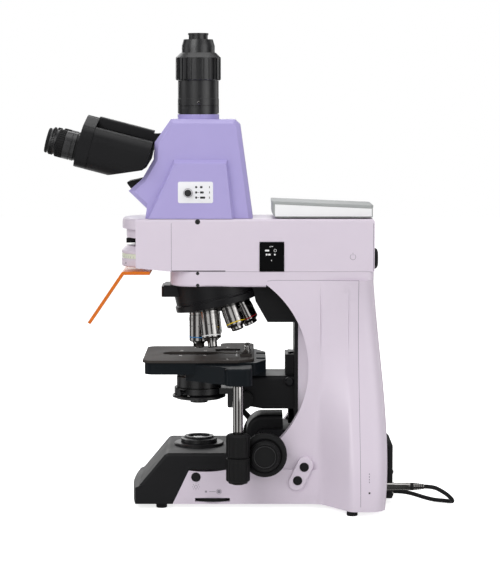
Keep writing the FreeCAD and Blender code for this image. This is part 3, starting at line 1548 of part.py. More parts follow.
def prism_housing(front_lap):
    """Right prism housing: front plate, prism box with a round side, eyepiece tube and hinge lap.

    The laps of the two housings share the hinge pin, one in the front half of the plate's
    thickness and one in the rear half."""
    half = tube_spacing / 2
    middle = -front_plate / 2
    plate_low = -front_plate
    own_low = middle + slide_gap / 2 if front_lap else plate_low
    other_low = plate_low - 1 if front_lap else middle - slide_gap / 2
    own = cylinder(lap_radius - 0.2, V(0, 0, own_low), UP, front_plate / 2 - slide_gap / 2)
    room = cylinder(lap_radius + 0.1, V(0, 0, other_low), UP, front_plate / 2 + 1 + slide_gap / 2)
    plate = plan_prism(housing_profile(), plate_low, 0)
    radius = housing_radius - 0.8
    rear = plate_low - housing_length
    low = -tube_drop - radius
    shelf = top_box_half_width + 1.4
    bulge = plan_prism([(5.5, -18), (half * 0.45, low, 12), (half + radius, low, 20),
                        (half + radius, 0.5, 19), (shelf, 0.5), (shelf, -3.8), (5.5, -3.8)],
                       rear, plate_low + 1)
    trim = side_prism([(low - 5, rear - 5), (low - 5, rear + 44), (low, rear + 44),
                       (low + 17, rear + 4), (low + 30, rear), (low + 30, rear - 5)], 0, 100)
    tube = cylinder(tube_radius, V(half, -tube_drop, -1), UP, tube_length + 1)
    bore = cylinder(eyepiece_bore + 1, V(half, -tube_drop, rear + 20), UP, housing_length + 40)
    pin_bore = cylinder(hinge_pin_radius + running_fit, V(0, 0, plate_low - 5), UP,
                        front_plate + 10)
    shell = joined(plate, bulge.cut(trim)).cut(room)
    return joined(shell, own, tube).cut([bore, pin_bore])


def binocular_body():
    """Tilting body: drum in the head's mouth, top box over the hinge, hinge pin and tilt pins."""
    half = top_box_half_width
    box_front = -front_plate - slide_gap
    top = plan_prism([(-half, top_box_floor), (half, top_box_floor), (half, top_box_height, 3),
                      (-half, top_box_height, 3)], box_front - top_box_length, box_front)
    pin = cylinder(hinge_pin_radius, V(0, 0, -front_plate - 2), UP, front_plate + 2)
    upper = placed(joined(top, pin))
    drum = cylinder(drum_radius, V(-drum_half_width, tilt_y, tilt_z), RIGHT, 2 * drum_half_width)
    pins = cylinder(tilt_pin_radius, V(-drum_half_width - 7, tilt_y, tilt_z), RIGHT,
                    2 * drum_half_width + 14)
    neck = side_prism([(tilt_y - 46, tilt_z + 32), (tilt_y - 30.9, tilt_z + 28),
                       (tilt_y - 6, tilt_z + 28.5), (tilt_y, tilt_z + 28), (tilt_y, tilt_z),
                       (tilt_y - 27, tilt_z + 9), (tilt_y - 26.4, tilt_z + 17.5),
                       (tilt_y - 46.4, tilt_z + 22.4)], -half, half)
    flat = box(-40, 40, tilt_y - 8, tilt_y + 60, 0, 600)
    core = cylinder(tilt_pin_radius + 6, V(-drum_half_width, tilt_y, tilt_z), RIGHT,
                    2 * drum_half_width)
    return joined(drum.cut(flat), core, pins, neck, upper)


def eyepiece():
    """Right eyepiece in the binocular body's frame: barrel, grooves, eyecup and lens."""
    half = tube_spacing / 2
    outer = eyepiece_barrel_radius
    bore = eyepiece_bore
    length = eyepiece_length
    start = tube_length
    profile = [(bore, 0), (outer - 0.6, 0), (outer, 0.6), (outer, 4.2), (outer - 0.7, 4.5),
               (outer - 0.7, 5.3), (outer, 5.6), (outer, 14), (outer - 2.6, 14.3),
               (outer - 2.6, 14.3 + diopter_ring_length + 0.6), (outer - 1.2, length - 8.6),
               (outer - 1.8, length - 4), (outer - 3.6, length - 3.6), (outer - 3.6, length - 2.6),
               (outer - 2.0, length - 2.2), (outer - 2.2, length - 0.4), (outer - 3, length),
               (bore + 1, length - 0.6), (bore, length - 3)]
    barrel = turned(profile, V(half, -tube_drop, start), UP)
    lens = turned([(0, 0), (bore, 0), (bore, 2.2), Via(bore * 0.6, 3.6), (0, 4.0)],
                  V(half, -tube_drop, start + length - 8), UP)
    return joined(barrel, lens)


def diopter_ring():
    """Ribbed dioptre ring round the right eyepiece."""
    half = tube_spacing / 2
    outer = eyepiece_barrel_radius
    low = tube_length + 14.3 + slide_gap
    inner = outer - 2.6 + running_fit
    profile = [(inner, 0), (outer, 0), (outer, diopter_ring_length - 0.8),
               (outer - 0.8, diopter_ring_length), (inner, diopter_ring_length)]
    whole = turned(profile, V(half, -tube_drop, low), UP)
    return whole.cut(grooves(outer, V(half, -tube_drop, low), UP, diopter_ring_length - 1.5, 36,
                             0.5))


def left_of_hinge(shape):
    """Mirror a right-hand piece in the binocular body's frame and put it in place."""
    return placed(mirrored(shape))


def build():
    """Every piece by name, drawn round the optical axis."""
    column = column_body()
    parts = {
        "stand_body": stand_body(column),
        "rear_cover": rear_cover(column),
        "base_cover": base_cover(),
        "feet": feet(),
        "inner_column": inner_column(),
        "focus_housing": focus_housing(),
        "field_lens_mount": field_lens_mount(),
        "field_iris_ring": field_iris_ring(),
        "lamp_train": lamp_train(),
        "intensity_wheel": intensity_wheel(),
        "side_button": round_button(base_half_width, side_button_y, side_button_z,
                                    side_button_radius),
        "pad_button_upper": pad_button(1),
        "pad_button_lower": pad_button(-1),
        "coarse_knobs": coarse_knobs(),
        "fine_knobs": fine_knobs(),
        "tension_ring": tension_ring(),
        "lock_lever": lock_lever(),
        "power_module": power_module(column),
        "power_switch": power_switch(),
        "epi_connector": epi_connector(column),
        "epi_cable": epi_cable(),
        "stage_bracket": stage_bracket(),
        "stage_frame": stage_frame(),
        "stage_plate": stage_plate(),
        "specimen_holder": specimen_holder(),
        "holder_finger": holder_finger(),
        "y_drive_knob": y_drive_knob(),
        "x_drive_knob": x_drive_knob(),
        "condenser_carrier": condenser_carrier(),
        "condenser_body": condenser_body(),
        "aperture_dial": aperture_dial(),
        "condenser_knob": condenser_knob(),
        "nosepiece_mount": nosepiece_mount(),
        "nosepiece_turret": nosepiece_turret(),
        "arm_beam": arm_beam(),
        "epi_housing": epi_housing(),
        "filter_turret": filter_turret(),
        "shutter_slider": shutter_slider(),
        "arm_slider": arm_slider(),
        "rear_cap": rear_cap(),
        "uv_shield": uv_shield(),
        "control_box": control_box(),
        "control_box_lid": control_box_lid(),
        "head_housing": head_housing(),
        "head_lip": head_lip(),
        "splitter_rod": splitter_rod(),
        "camera_adapter": camera_adapter(),
        "adapter_ring": adapter_ring(),
        "binocular_body": binocular_body(),
        "prism_housing_right": placed(prism_housing(True)),
        "prism_housing_left": left_of_hinge(prism_housing(False)),
        "eyepiece_right": placed(eyepiece()),
        "eyepiece_left": left_of_hinge(eyepiece()),
        "diopter_ring_right": placed(diopter_ring()),
        "diopter_ring_left": left_of_hinge(diopter_ring()),
    }
    parts.update(objectives())
    return parts


def footprint_middle(parts):
    """Y place of the middle of the whole instrument, the free cable left out."""
    boxes = [shape.BoundBox for name, shape in parts.items() if name != "epi_cable"]
    return (min(b.YMin for b in boxes) + max(b.YMax for b in boxes)) / 2


pieces = build()
middle_y = footprint_middle(pieces)
print("footprint middle", round(middle_y, 3))
os.makedirs("parts", exist_ok=True)
for name, shape in pieces.items():
    shape.translate(V(0, -middle_y, 0))
    shape.exportStep("parts/" + name + ".step")
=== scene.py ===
"""Upright fluorescence microscope, dressed for a product photograph.

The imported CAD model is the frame. Its nodes get real finishes, and the small parts that a maker
would turn, print or screw on are built here: lenses, colour rings, scales, screws, printed marks,
ribbed grips and the cable.
"""

from __future__ import annotations

import json
import logging
import math
from dataclasses import dataclass, field
from enum import Enum

import bmesh
import bpy
from bmesh.types import BMesh
from bpy.types import ID, Material, Mesh, Node, NodeSocket, NodeTree, Object
from mathutils import Matrix, Vector
from mathutils.bvhtree import BVHTree

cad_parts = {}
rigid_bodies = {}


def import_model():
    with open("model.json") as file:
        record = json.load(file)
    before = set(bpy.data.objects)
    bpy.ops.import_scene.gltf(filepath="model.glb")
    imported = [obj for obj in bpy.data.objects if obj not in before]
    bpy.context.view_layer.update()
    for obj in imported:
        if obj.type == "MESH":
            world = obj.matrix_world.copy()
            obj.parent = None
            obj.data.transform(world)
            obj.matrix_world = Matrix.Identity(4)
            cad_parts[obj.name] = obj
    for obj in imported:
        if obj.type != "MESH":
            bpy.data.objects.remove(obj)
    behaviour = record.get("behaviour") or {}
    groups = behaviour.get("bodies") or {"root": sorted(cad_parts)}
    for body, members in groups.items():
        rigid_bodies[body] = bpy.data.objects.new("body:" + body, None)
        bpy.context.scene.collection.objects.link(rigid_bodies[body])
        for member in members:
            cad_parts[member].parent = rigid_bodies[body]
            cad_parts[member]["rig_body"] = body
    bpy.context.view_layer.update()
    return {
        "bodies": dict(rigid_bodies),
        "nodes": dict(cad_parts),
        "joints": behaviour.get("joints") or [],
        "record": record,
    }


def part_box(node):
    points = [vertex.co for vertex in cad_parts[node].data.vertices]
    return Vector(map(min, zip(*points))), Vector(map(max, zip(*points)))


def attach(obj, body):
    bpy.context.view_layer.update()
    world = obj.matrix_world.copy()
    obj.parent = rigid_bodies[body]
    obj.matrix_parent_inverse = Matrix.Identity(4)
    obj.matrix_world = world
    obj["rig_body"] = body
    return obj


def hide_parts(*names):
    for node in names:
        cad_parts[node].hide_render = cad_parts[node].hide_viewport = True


Corners = list[tuple[float, float]]
Place = tuple[float, float, float]

LOG = logging.getLogger("microscope")
MM = 0.001


def axis_offset() -> float:
    """Y place of the optical axis in the frame: the camera adapter is round about it."""
    low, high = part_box("camera_adapter")
    return (low.y + high.y) / 2 / MM


class Drawing:
    """Places in millimetres from the optical axis, as the instrument is drawn."""

    offset: float = 0.0

    @classmethod
    def at(cls, x: float, y: float, z: float) -> Vector:
        """Point of the frame, in metres: X to the user's right, Y behind the axis, Z up."""
        return Vector((x, y + cls.offset, z)) * MM

    @classmethod
    def turned(cls, origin: Place, axis: Vector) -> Matrix:
        """Transform from local metres that puts local Z along an axis, at a drawing place."""
        turn = axis.normalized().to_track_quat("Z", "Y").to_matrix().to_4x4()
        return Matrix.Translation(cls.at(*origin)) @ turn

    @classmethod
    def on_side(cls, x: float, y: float = 0.0, z: float = 0.0) -> Matrix:
        """Transform that lays local X and Y on a side's face; the sign of x says which side."""
        out = math.copysign(1, x)
        return Matrix.Translation(cls.at(x, y, z)) @ Matrix(
            ((0, 0, out, 0), (1, 0, 0, 0), (0, 1, 0, 0), (0, 0, 0, 1)))


# Printed ink starts a little below the face and stands a few hundredths proud of it.
INK_ROOT = -0.05
INK_TOP = 0.06
# A seam is a ribbon this thick and proud; its rays start well outside the instrument.
SEAM_THICK = 0.08
SEAM_PROUD = 0.04
SEAM_STEP = 4.0
OUTSIDE = 300.0
# Corners closer than this are one corner: in millimetres on made shapes, in metres on CAD skins.
WELD = 0.0005
SKIN_WELD = 2e-6
# Angles in degrees above which an edge stays sharp.
CREASE = 32.0
SKIN_CREASE = 28.0
UP = Vector((0, 0, 1))
RIGHT = Vector((1, 0, 0))
REAR = Vector((0, 1, 0))


def linear(code: str) -> tuple[float, float, float, float]:
    """Turn an sRGB hex colour into the linear values that the shaders take.

    Args:
        code: Colour as six hex digits.

    Returns:
        Linear red, green, blue and alpha.
    """
    parts = [int(code[i : i + 2], 16) / 255 for i in (0, 2, 4)]
    out = [c / 12.92 if c <= 0.04045 else ((c + 0.055) / 1.055) ** 2.4 for c in parts]
    return out[0], out[1], out[2], 1.0


def add(tree: NodeTree, kind: str, settings: dict | None = None, links: dict | None = None) -> Node:
    """Add a node with its settings, socket values and links.

    Args:
        tree: Node tree that gets the node.
        kind: Blender's name of the node type.
        settings: Values by property or input name. A number names an input by its place.
        links: What feeds an input, by its name or place. A node stands for its first output.

    Returns:
        The new node.
    """
    node = tree.nodes.new(kind)
    for key, value in (settings or {}).items():
        if isinstance(key, str) and hasattr(node, key):
            setattr(node, key, value)
        else:
            node.inputs[key].default_value = value
    for key, source in (links or {}).items():
        socket = source.outputs[0] if isinstance(source, Node) else source
        tree.links.new(socket, node.inputs[key])
    return node


class Grain(Enum):
    """How a surface was made, which sets its fine relief."""

    POWDER_COAT = "fine orange peel of sprayed paint"
    MOULDED = "spark-eroded mould texture"
    TURNED = "lathe rings about the part's axis"
    BLASTED = "bead blasting before anodising"


@dataclass(frozen=True)
class Surface:
    """What a piece is made of and how it looks."""

    name: str
    colour: str

    def material(self) -> Material:
        """Build the node material, once for each surface.

        Returns:
            The material with this surface's name.
        """
        made = bpy.data.materials.get(self.name)
        if made is None:
            made = bpy.data.materials.new(self.name)
            made.use_nodes = True
            tree = made.node_tree
            tree.nodes.clear()
            place = add(tree, "ShaderNodeTexCoord")
            shader = self.shader(tree, place.outputs["Object"])
            add(tree, "ShaderNodeOutputMaterial", {}, {"Surface": shader})
        return made

    def shader(self, tree: NodeTree, place: NodeSocket) -> Node:
        """Build the shader from the place on the piece, in metres."""
        raise NotImplementedError


@dataclass(frozen=True)
class Finish(Surface):
    """One opaque finish.

    The second colour shows where the surface is worn or dusty, and the bump is the depth of
    the grain in millimetres.
    """

    second: str
    roughness: float
    grain: Grain
    grain_mm: float
    bump_mm: float
    metallic: float = 0.0
    coat: float = 0.0
    ior: float = 1.5
    spread: float = 0.06

    def shader(self, tree: NodeTree, place: NodeSocket) -> Node:
        """Build the shader: clouded colour and gloss, with the grain's relief.

        Args:
            tree: Tree that gets the nodes.
            place: Place on the piece, in metres.

        Returns:
            The Principled BSDF node.
        """
        scaled = add(tree, "ShaderNodeVectorMath", {"operation": "SCALE", "Scale": 1 / MM},
                     {0: place})
        where = scaled.outputs["Vector"]
        cloud = add(tree, "ShaderNodeTexNoise", {"Scale": 0.02, "Detail": 4.0, "Roughness": 0.6},
                    {"Vector": where})
        amount = add(tree, "ShaderNodeMapRange", {"From Min": 0.35, "From Max": 0.75,
                     "To Min": 0.0, "To Max": 0.55}, {"Value": cloud})
        tint = add(tree, "ShaderNodeMixRGB", {1: linear(self.colour), 2: linear(self.second)},
                   {0: amount})
        gloss = add(tree, "ShaderNodeMapRange", {"From Min": 0.3, "From Max": 0.7,
                    "To Min": max(self.roughness - self.spread, 0.02),
                    "To Max": self.roughness + self.spread}, {"Value": cloud})
        relief = add(tree, "ShaderNodeBump", {"Strength": 1.0, "Distance": self.bump_mm * MM},
                     {"Height": self.grain_texture(tree, where)})
        return add(tree, "ShaderNodeBsdfPrincipled",
                   {"Metallic": self.metallic, "Coat Weight": self.coat, "IOR": self.ior},
                   {"Base Color": tint, "Roughness": gloss,
                    "Normal": relief})

    def grain_texture(self, tree: NodeTree, where: NodeSocket) -> NodeSocket:
        """Height of the fine relief at a place.

        Args:
            tree: Tree that gets the nodes.
            where: Place in millimetres.

        Returns:
            The socket with the height from 0 to 1.
        """
        pitch = 1 / self.grain_mm
        if self.grain is Grain.TURNED:
            wave = add(tree, "ShaderNodeTexWave", {"wave_type": "BANDS", "bands_direction": "Z",
                       "Scale": pitch / 3, "Distortion": 0.4}, {"Vector": where})
            return wave.outputs["Fac"]
        if self.grain is Grain.MOULDED:
            cell = add(tree, "ShaderNodeTexVoronoi", {"feature": "SMOOTH_F1", "Scale": pitch},
                       {"Vector": where})
            return cell.outputs["Distance"]
        noise = add(tree, "ShaderNodeTexNoise", {"Scale": pitch, "Detail": 2.0}, {"Vector": where})
        return noise.outputs["Fac"]


@dataclass(frozen=True)
class Glass(Surface):
    """Optical or acrylic glass: clear, tinted, and smooth from polishing or casting."""

    ior: float
    roughness: float
    transmission: float
    # Emission strength: a painted glow, since the glass is no lamp.
    glow: float = 0.0

    def shader(self, tree: NodeTree, place: NodeSocket) -> Node:
        """Build the shader, with faint smears in its gloss and a painted glow from its emission.

        Args:
            tree: Tree that gets the nodes.
            place: Place on the piece, in metres.

        Returns:
            The Principled BSDF node.
        """
        smear = add(tree, "ShaderNodeTexNoise", {"Scale": 40.0, "Detail": 3.0}, {"Vector": place})
        rough = add(tree, "ShaderNodeMapRange", {"To Min": self.roughness,
                    "To Max": self.roughness + 0.05}, {"Value": smear})
        return add(tree, "ShaderNodeBsdfPrincipled",
                   {"Base Color": linear(self.colour), "IOR": self.ior,
                    "Transmission Weight": self.transmission,
                    "Emission Color": linear(self.colour), "Emission Strength": self.glow},
                   {"Roughness": rough})


class Stock:
    """The finishes that the instrument is made of."""

    # Sprayed two-part enamel over a cast stand: pale lilac, even, with a soft satin sheen.
    STAND_ENAMEL = Finish("lilac_stand_enamel", "DACFDC", "D5CAD8", 0.42, Grain.POWDER_COAT,
                          0.9, 0.012, coat=0.08)
    # The head wears a stronger violet of the same enamel.
    HEAD_ENAMEL = Finish("violet_head_enamel", "ADA3D7", "A79DD2", 0.42, Grain.POWDER_COAT,
                         0.9, 0.012, coat=0.08)
    # Black stoved enamel on castings: nearly black, with soft edge highlights.
    BLACK_ENAMEL = Finish("black_stoved_enamel", "101012", "141416", 0.4, Grain.POWDER_COAT,
                          0.8, 0.014, ior=1.3)
    # Injection-moulded ABS with an eroded mould texture: matt and slightly grey.
    BLACK_ABS = Finish("moulded_black_abs", "131315", "17171A", 0.5, Grain.MOULDED, 0.7, 0.02,
                       ior=1.3)
    # Black anodised aluminium, turned: fine rings and a metallic glint.
    BLACK_ANODISED = Finish("turned_black_anodised", "161618", "1A1A1C", 0.36, Grain.TURNED,
                            0.5, 0.01, ior=1.55)
    # Blue-grey structured paint of the stage frame.
    STAGE_ENAMEL = Finish("blue_grey_stage_enamel", "11161A", "151A1E", 0.45, Grain.POWDER_COAT,
                          0.8, 0.02, ior=1.2)
    # Hard anodised stage plate: warm grey and satin from blasting.
    STAGE_ANODISED = Finish("hard_anodised_stage_plate", "3A3634", "403C39", 0.6, Grain.BLASTED,
                            0.35, 0.006, ior=1.2)
    # Nickel-chrome plate on turned brass: bright, with faint lathe rings.
    CHROME = Finish("satin_chrome_plate", "A3A19F", "9C9A99", 0.13, Grain.TURNED, 0.4, 0.002,
                    metallic=1.0, spread=0.03)
    # Gloss black panel behind the slider's printed marks.
    PANEL = Finish("gloss_black_panel", "0A0A0B", "0E0E10", 0.3, Grain.BLASTED, 0.4, 0.002,
                   ior=1.15)
    # Black nitrile rubber of grips, feet and cable: matt, slightly dusty.
    RUBBER = Finish("black_nitrile_rubber", "111112", "161617", 0.6, Grain.MOULDED, 0.5, 0.02,
                    ior=1.3)
    # White enamel of the control box's sheet housing.
    WHITE_ENAMEL = Finish("white_box_enamel", "F2F2F3", "ECECEE", 0.38, Grain.POWDER_COAT,
                          0.9, 0.01)
    # Grey ABS lid with a fine leather-like texture.
    GREY_ABS = Finish("moulded_grey_abs", "A5A8A7", "9FA2A2", 0.55, Grain.MOULDED, 0.8, 0.02)
    # Printed marks: a matt screen ink that stands a few hundredths of a millimetre proud.
    WHITE_INK = Finish("white_screen_ink", "E8E8E8", "DCDCDC", 0.5, Grain.BLASTED, 0.3, 0.002)
    GREY_INK = Finish("grey_screen_ink", "8F8894", "8A8390", 0.5, Grain.BLASTED, 0.3, 0.002)
    BLACK_INK = Finish("black_screen_ink", "202022", "2A2A2C", 0.5, Grain.BLASTED, 0.3, 0.002)
    LABEL = Finish("white_label_plate", "EFEFF2", "E6E6EA", 0.35, Grain.POWDER_COAT, 0.8, 0.004)
    DIAL_BAND = Finish("pale_dial_band", "DDE2CE", "D5DAC6", 0.45, Grain.POWDER_COAT, 0.8, 0.006)
    SEAM = Finish("shadow_of_a_seam", "8B8190", "7E7583", 0.7, Grain.BLASTED, 0.3, 0.002)
    BLUE_INK = Finish("blue_ring_enamel", "2E86C8", "2B7DBB", 0.3, Grain.POWDER_COAT, 0.6, 0.003)
    WHITE_RING = Finish("white_ring_enamel", "EDEDED", "E2E2E2", 0.3, Grain.POWDER_COAT, 0.6, 0.003)
    YELLOW_RING = Finish("yellow_ring_enamel", "E4C21E", "D8B61A", 0.3, Grain.POWDER_COAT,
                         0.6, 0.003)
    RED_RING = Finish("red_ring_enamel", "C8272D", "BC2228", 0.3, Grain.POWDER_COAT, 0.6, 0.003)
    GREEN_RING = Finish("green_ring_enamel", "2F9A4B", "2A9045", 0.3, Grain.POWDER_COAT, 0.6, 0.003)
    # Cast orange acrylic that stops ultraviolet light: clear, strongly tinted, with a faint painted
    # glow.
    SHIELD = Glass("cast_orange_acrylic", "D9741C", 1.35, 0.12, 0.3, 0.1)
    # Coated optical glass: nearly clear with a faint green-blue coating.
    LENS = Glass("coated_optical_glass", "CFE3E6", 1.6, 0.01, 1.0)


def linked(name: str, data: ID) -> Object:
    """Make an object and put it in the scene.

    Args:
        name: Name of the object.
        data: Its mesh, curve, light or camera.

    Returns:
        The object.
    """
    made = bpy.data.objects.new(name, data)
    bpy.context.scene.collection.objects.link(made)
    return made


def register(name: str, mesh: Mesh, finish: Surface, body: str, crease: float = CREASE) -> Object:
    """Give a finished mesh its object, finish and body.

    Args:
        name: Name of the piece.
        mesh: Mesh in the frame's place, in metres.
        finish: What the piece is made of.
        body: CAD body that the piece moves with.
        crease: Angle in degrees above which an edge stays sharp.

    Returns:
        The object, riding on its body.
    """
    piece = linked(name, mesh)
    mesh.materials.clear()
    mesh.materials.append(finish.material())
    mesh.shade_smooth()
    mesh.set_sharp_from_angle(angle=math.radians(crease))
    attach(piece, body)
    LOG.info("%s rides on %s", name, body)
    return piece


def to_mesh(name: str, form: BMesh, place: Matrix | None = None) -> Mesh:
    """Turn a bmesh in local millimetres into a mesh at its place.

    Args:
        name: Name of the mesh.
        form: Shape in millimetres, which is used up.
        place: Transform from local metres to the frame.

    Returns:
        The mesh in metres, faces outwards.
    """
    bmesh.ops.remove_doubles(form, verts=form.verts, dist=WELD)
    bmesh.ops.recalc_face_normals(form, faces=form.faces)
    bmesh.ops.scale(form, vec=(MM, MM, MM), verts=form.verts)
    if place is not None:
        bmesh.ops.transform(form, matrix=place, verts=form.verts)
    mesh = bpy.data.meshes.new(name)
    form.to_mesh(mesh)
    form.free()
    return mesh


def lathe(profile: Corners, steps: int = 96) -> BMesh:
    """Turn a profile about local Z.

    Args:
        profile: Corners as (radius, height) in millimetres. The last joins the first, unless a
            radius of 0 makes a pole.
        steps: Faces round the turn.

    Returns:
        The turned shape.
    """
    form = bmesh.new()
    rings = []
    for radius, height in profile:
        if radius < 1e-6:
            rings.append([form.verts.new((0, 0, height))])
            continue
        turn = [2 * math.pi * i / steps for i in range(steps)]
        rings.append([form.verts.new((radius * math.cos(a), radius * math.sin(a), height))
                      for a in turn])
    pairs = list(zip(rings, rings[1:]))
    if all(radius > 0 for radius, _ in profile):
        pairs.append((rings[-1], rings[0]))
    for low, high in pairs:
        if len(low) == 1 and len(high) == 1:
            continue
        for i in range(steps):
            j = (i + 1) % steps
            unique = list(dict.fromkeys((low[i % len(low)], low[j % len(low)],
                                         high[j % len(high)], high[i % len(high)])))
            if len(unique) > 2:
                form.faces.new(unique)
    return form


def slab(corners: Corners, low: float, high: float, bevel: float = 0.0) -> BMesh:
    """Raise a flat outline along local Z.

    Args:
        corners: Outline in local X and Y, in millimetres.
        low: Height of its lower face.
        high: Height of its upper face.
        bevel: Width of the bevel round the upper face.

    Returns:
        The raised shape.
    """
    form = bmesh.new()
    floor = [form.verts.new((x, y, low)) for x, y in corners]
    roof = [form.verts.new((x, y, high)) for x, y in corners]
    count = len(corners)
    form.faces.new(list(reversed(floor)))
    top = form.faces.new(roof)
    for i in range(count):
        j = (i + 1) % count
        form.faces.new([floor[i], floor[j], roof[j], roof[i]])
    if bevel:
        bmesh.ops.bevel(form, geom=list(top.edges), offset=bevel, segments=2, affect="EDGES",
                        profile=0.5)
    return form


def dome(radius: float, base: float, rise: float, step: float) -> Corners:
    """Profile of a lens's curved face, from its rim to its pole.

    Args:
        radius: Radius of the rim.
        base: Height of the rim.
        rise: Height of the pole above the rim.
        step: Degrees between the corners.

    Returns:
        Corners as (radius, height).
    """
    last = 84.0
    angles = [math.radians(step * i) for i in range(1, int(last / step) + 1)]
    return [(radius * math.cos(a), base + rise * math.sin(a)) for a in angles] + [(0, base + rise)]


def rounded(width: float, height: float, radius: float,
            centre: tuple[float, float] = (0.0, 0.0), steps: int = 5) -> Corners:
    """Outline of a rectangle with round corners.

    Args:
        width: Size along local X.
        height: Size along local Y.
        radius: Corner radius.
        centre: Middle of the rectangle.
        steps: Points in each corner.

    Returns:
        The outline's corners.
    """
    out = []
    for quarter, (sx, sy) in enumerate(((1, 1), (-1, 1), (-1, -1), (1, -1))):
        cx = centre[0] + sx * (width / 2 - radius)
        cy = centre[1] + sy * (height / 2 - radius)
        for i in range(steps):
            angle = math.pi / 2 * (quarter + i / (steps - 1))
            out.append((cx + radius * math.cos(angle), cy + radius * math.sin(angle)))
    return out


def merged(*forms: BMesh) -> BMesh:
    """Put several shapes into one.

    Args:
        forms: Shapes, all but the first of which are used up.

    Returns:
        The first shape with the others in it.
    """
    whole = forms[0]
    for other in forms[1:]:
        spare = bpy.data.meshes.new("spare")
        other.to_mesh(spare)
        whole.from_mesh(spare)
        bpy.data.meshes.remove(spare)
        other.free()
    return whole


class Repeat:
    """Geometry Nodes trees for what repeats: ribs in a ring, ticks in a row, set screws."""

    @staticmethod
    def tree(name: str, **inputs: str) -> tuple[NodeTree, Node]:
        """Start a geometry tree with named inputs.

        Args:
            name: Name of the tree.
            inputs: Kind of socket by input name.

        Returns:
            The tree and its Group Input node.
        """
        made = bpy.data.node_groups.new(name + "_tree", "GeometryNodeTree")
        for key, kind in {"Geometry": "Geometry", **inputs}.items():
            made.interface.new_socket(name=key, in_out="INPUT", socket_type="NodeSocket" + kind)
        made.interface.new_socket(name="Geometry", in_out="OUTPUT",
                                  socket_type="NodeSocketGeometry")
        return made, made.nodes.new("NodeGroupInput")

    @staticmethod
    def ending(made: NodeTree, instances: Node, material: Material) -> None:
        """End a tree in Realize Instances and Set Material.

        Args:
            made: The tree.
            instances: Node that places the copies.
            material: Finish of the copies.
        """
        real = add(made, "GeometryNodeRealizeInstances", {}, {"Geometry": instances})
        dressed = add(made, "GeometryNodeSetMaterial", {"Material": material}, {"Geometry": real})
        add(made, "NodeGroupOutput", {}, {"Geometry": dressed})

    @staticmethod
    def baked(name: str, made: NodeTree, start: Mesh | None = None, **values: object) -> Mesh:
        """Run a tree once and keep its result as a plain mesh.

        Args:
            name: Name of the mesh.
            made: The tree.
            start: Mesh that the tree reads.
            values: Input values by name.

        Returns:
            The mesh, in the tree's local metres.
        """
        carrier = linked(name + "_carrier", start or bpy.data.meshes.new(name + "_seed"))
        modifier = carrier.modifiers.new("repeat", "NODES")
        modifier.node_group = made
        for item in made.interface.items_tree:
            if item.in_out == "INPUT" and item.name in values:
                modifier[item.identifier] = values[item.name]
        bpy.context.view_layer.update()
        seen = carrier.evaluated_get(bpy.context.evaluated_depsgraph_get())
        mesh = bpy.data.meshes.new_from_object(seen)
        mesh.name = name
        bpy.data.objects.remove(carrier)
        return mesh

    @classmethod
    def ribs(cls, name: str, count: int, radius: float, size: Place,
             finish: Finish, height: float = 0.0) -> Mesh:
        """Ribs in a ring about local Z.

        Args:
            name: Name of the mesh.
            count: How many ribs.
            radius: Radius of the ribs' middles, in millimetres.
            size: Depth, width and length of a rib.
            finish: What they are made of.
            height: Height of the ribs' middles.

        Returns:
            The mesh in local metres.
        """
        made, given = cls.tree(name, Count="Int", Radius="Float", Rib="Vector")
        circle = add(made, "GeometryNodeMeshCircle", {}, {"Vertices": given.outputs["Count"],
                     "Radius": given.outputs["Radius"]})
        rib = add(made, "GeometryNodeMeshCube", {}, {"Size": given.outputs["Rib"]})
        index = add(made, "GeometryNodeInputIndex")
        step = add(made, "ShaderNodeMath", {"operation": "DIVIDE", 0: 2 * math.pi},
                   {1: given.outputs["Count"]})
        angle = add(made, "ShaderNodeMath", {"operation": "MULTIPLY"}, {0: index, 1: step})
        turn = add(made, "ShaderNodeCombineXYZ", {}, {"Z": angle})
        placed = add(made, "GeometryNodeInstanceOnPoints", {},
                     {"Points": circle, "Instance": rib,
                      "Rotation": turn})
        cls.ending(made, placed, finish.material())
        mesh = cls.baked(name, made, Count=count, Radius=radius * MM, Rib=[s * MM for s in size])
        mesh.transform(Matrix.Translation((0, 0, height * MM)))
        return mesh

    @classmethod
    def ticks(cls, name: str, count: int, step: float, size: Place,
              long_by: float, finish: Finish) -> Mesh:
        """Scale ticks in a row along local X, every fifth one longer.

        Args:
            name: Name of the mesh.
            count: How many ticks.
            step: Space between them, in millimetres.
            size: Width, length and thickness of a tick.
            long_by: How many times longer every fifth tick is.
            finish: Ink of the scale.

        Returns:
            The mesh in local metres, centred on the row.
        """
        made, given = cls.tree(name, Count="Int", Step="Vector", Tick="Vector", Longer="Float")
        line = add(made, "GeometryNodeMeshLine", {"mode": "OFFSET"},
                   {"Count": given.outputs["Count"], "Offset": given.outputs["Step"]})
        tick = add(made, "GeometryNodeMeshCube", {}, {"Size": given.outputs["Tick"]})
        index = add(made, "GeometryNodeInputIndex")
        rest = add(made, "ShaderNodeMath", {"operation": "MODULO", 1: 5.0}, {0: index})
        fifth = add(made, "ShaderNodeMath", {"operation": "LESS_THAN", 1: 0.5}, {0: rest})
        more = add(made, "ShaderNodeMath", {"operation": "SUBTRACT", 1: 1.0},
                   {0: given.outputs["Longer"]})
        grow = add(made, "ShaderNodeMath", {"operation": "MULTIPLY_ADD", 2: 1.0},
                   {0: fifth, 1: more})
        scale = add(made, "ShaderNodeCombineXYZ", {"X": 1.0, "Z": 1.0}, {"Y": grow})
        placed = add(made, "GeometryNodeInstanceOnPoints", {},
                     {"Points": line, "Instance": tick,
                      "Scale": scale})
        cls.ending(made, placed, finish.material())
        mesh = cls.baked(name, made, Count=count, Step=(step * MM, 0.0, 0.0),
                         Tick=[s * MM for s in size], Longer=long_by)
        mesh.transform(Matrix.Translation((-(count - 1) * step / 2 * MM, 0, 0)))
        return mesh

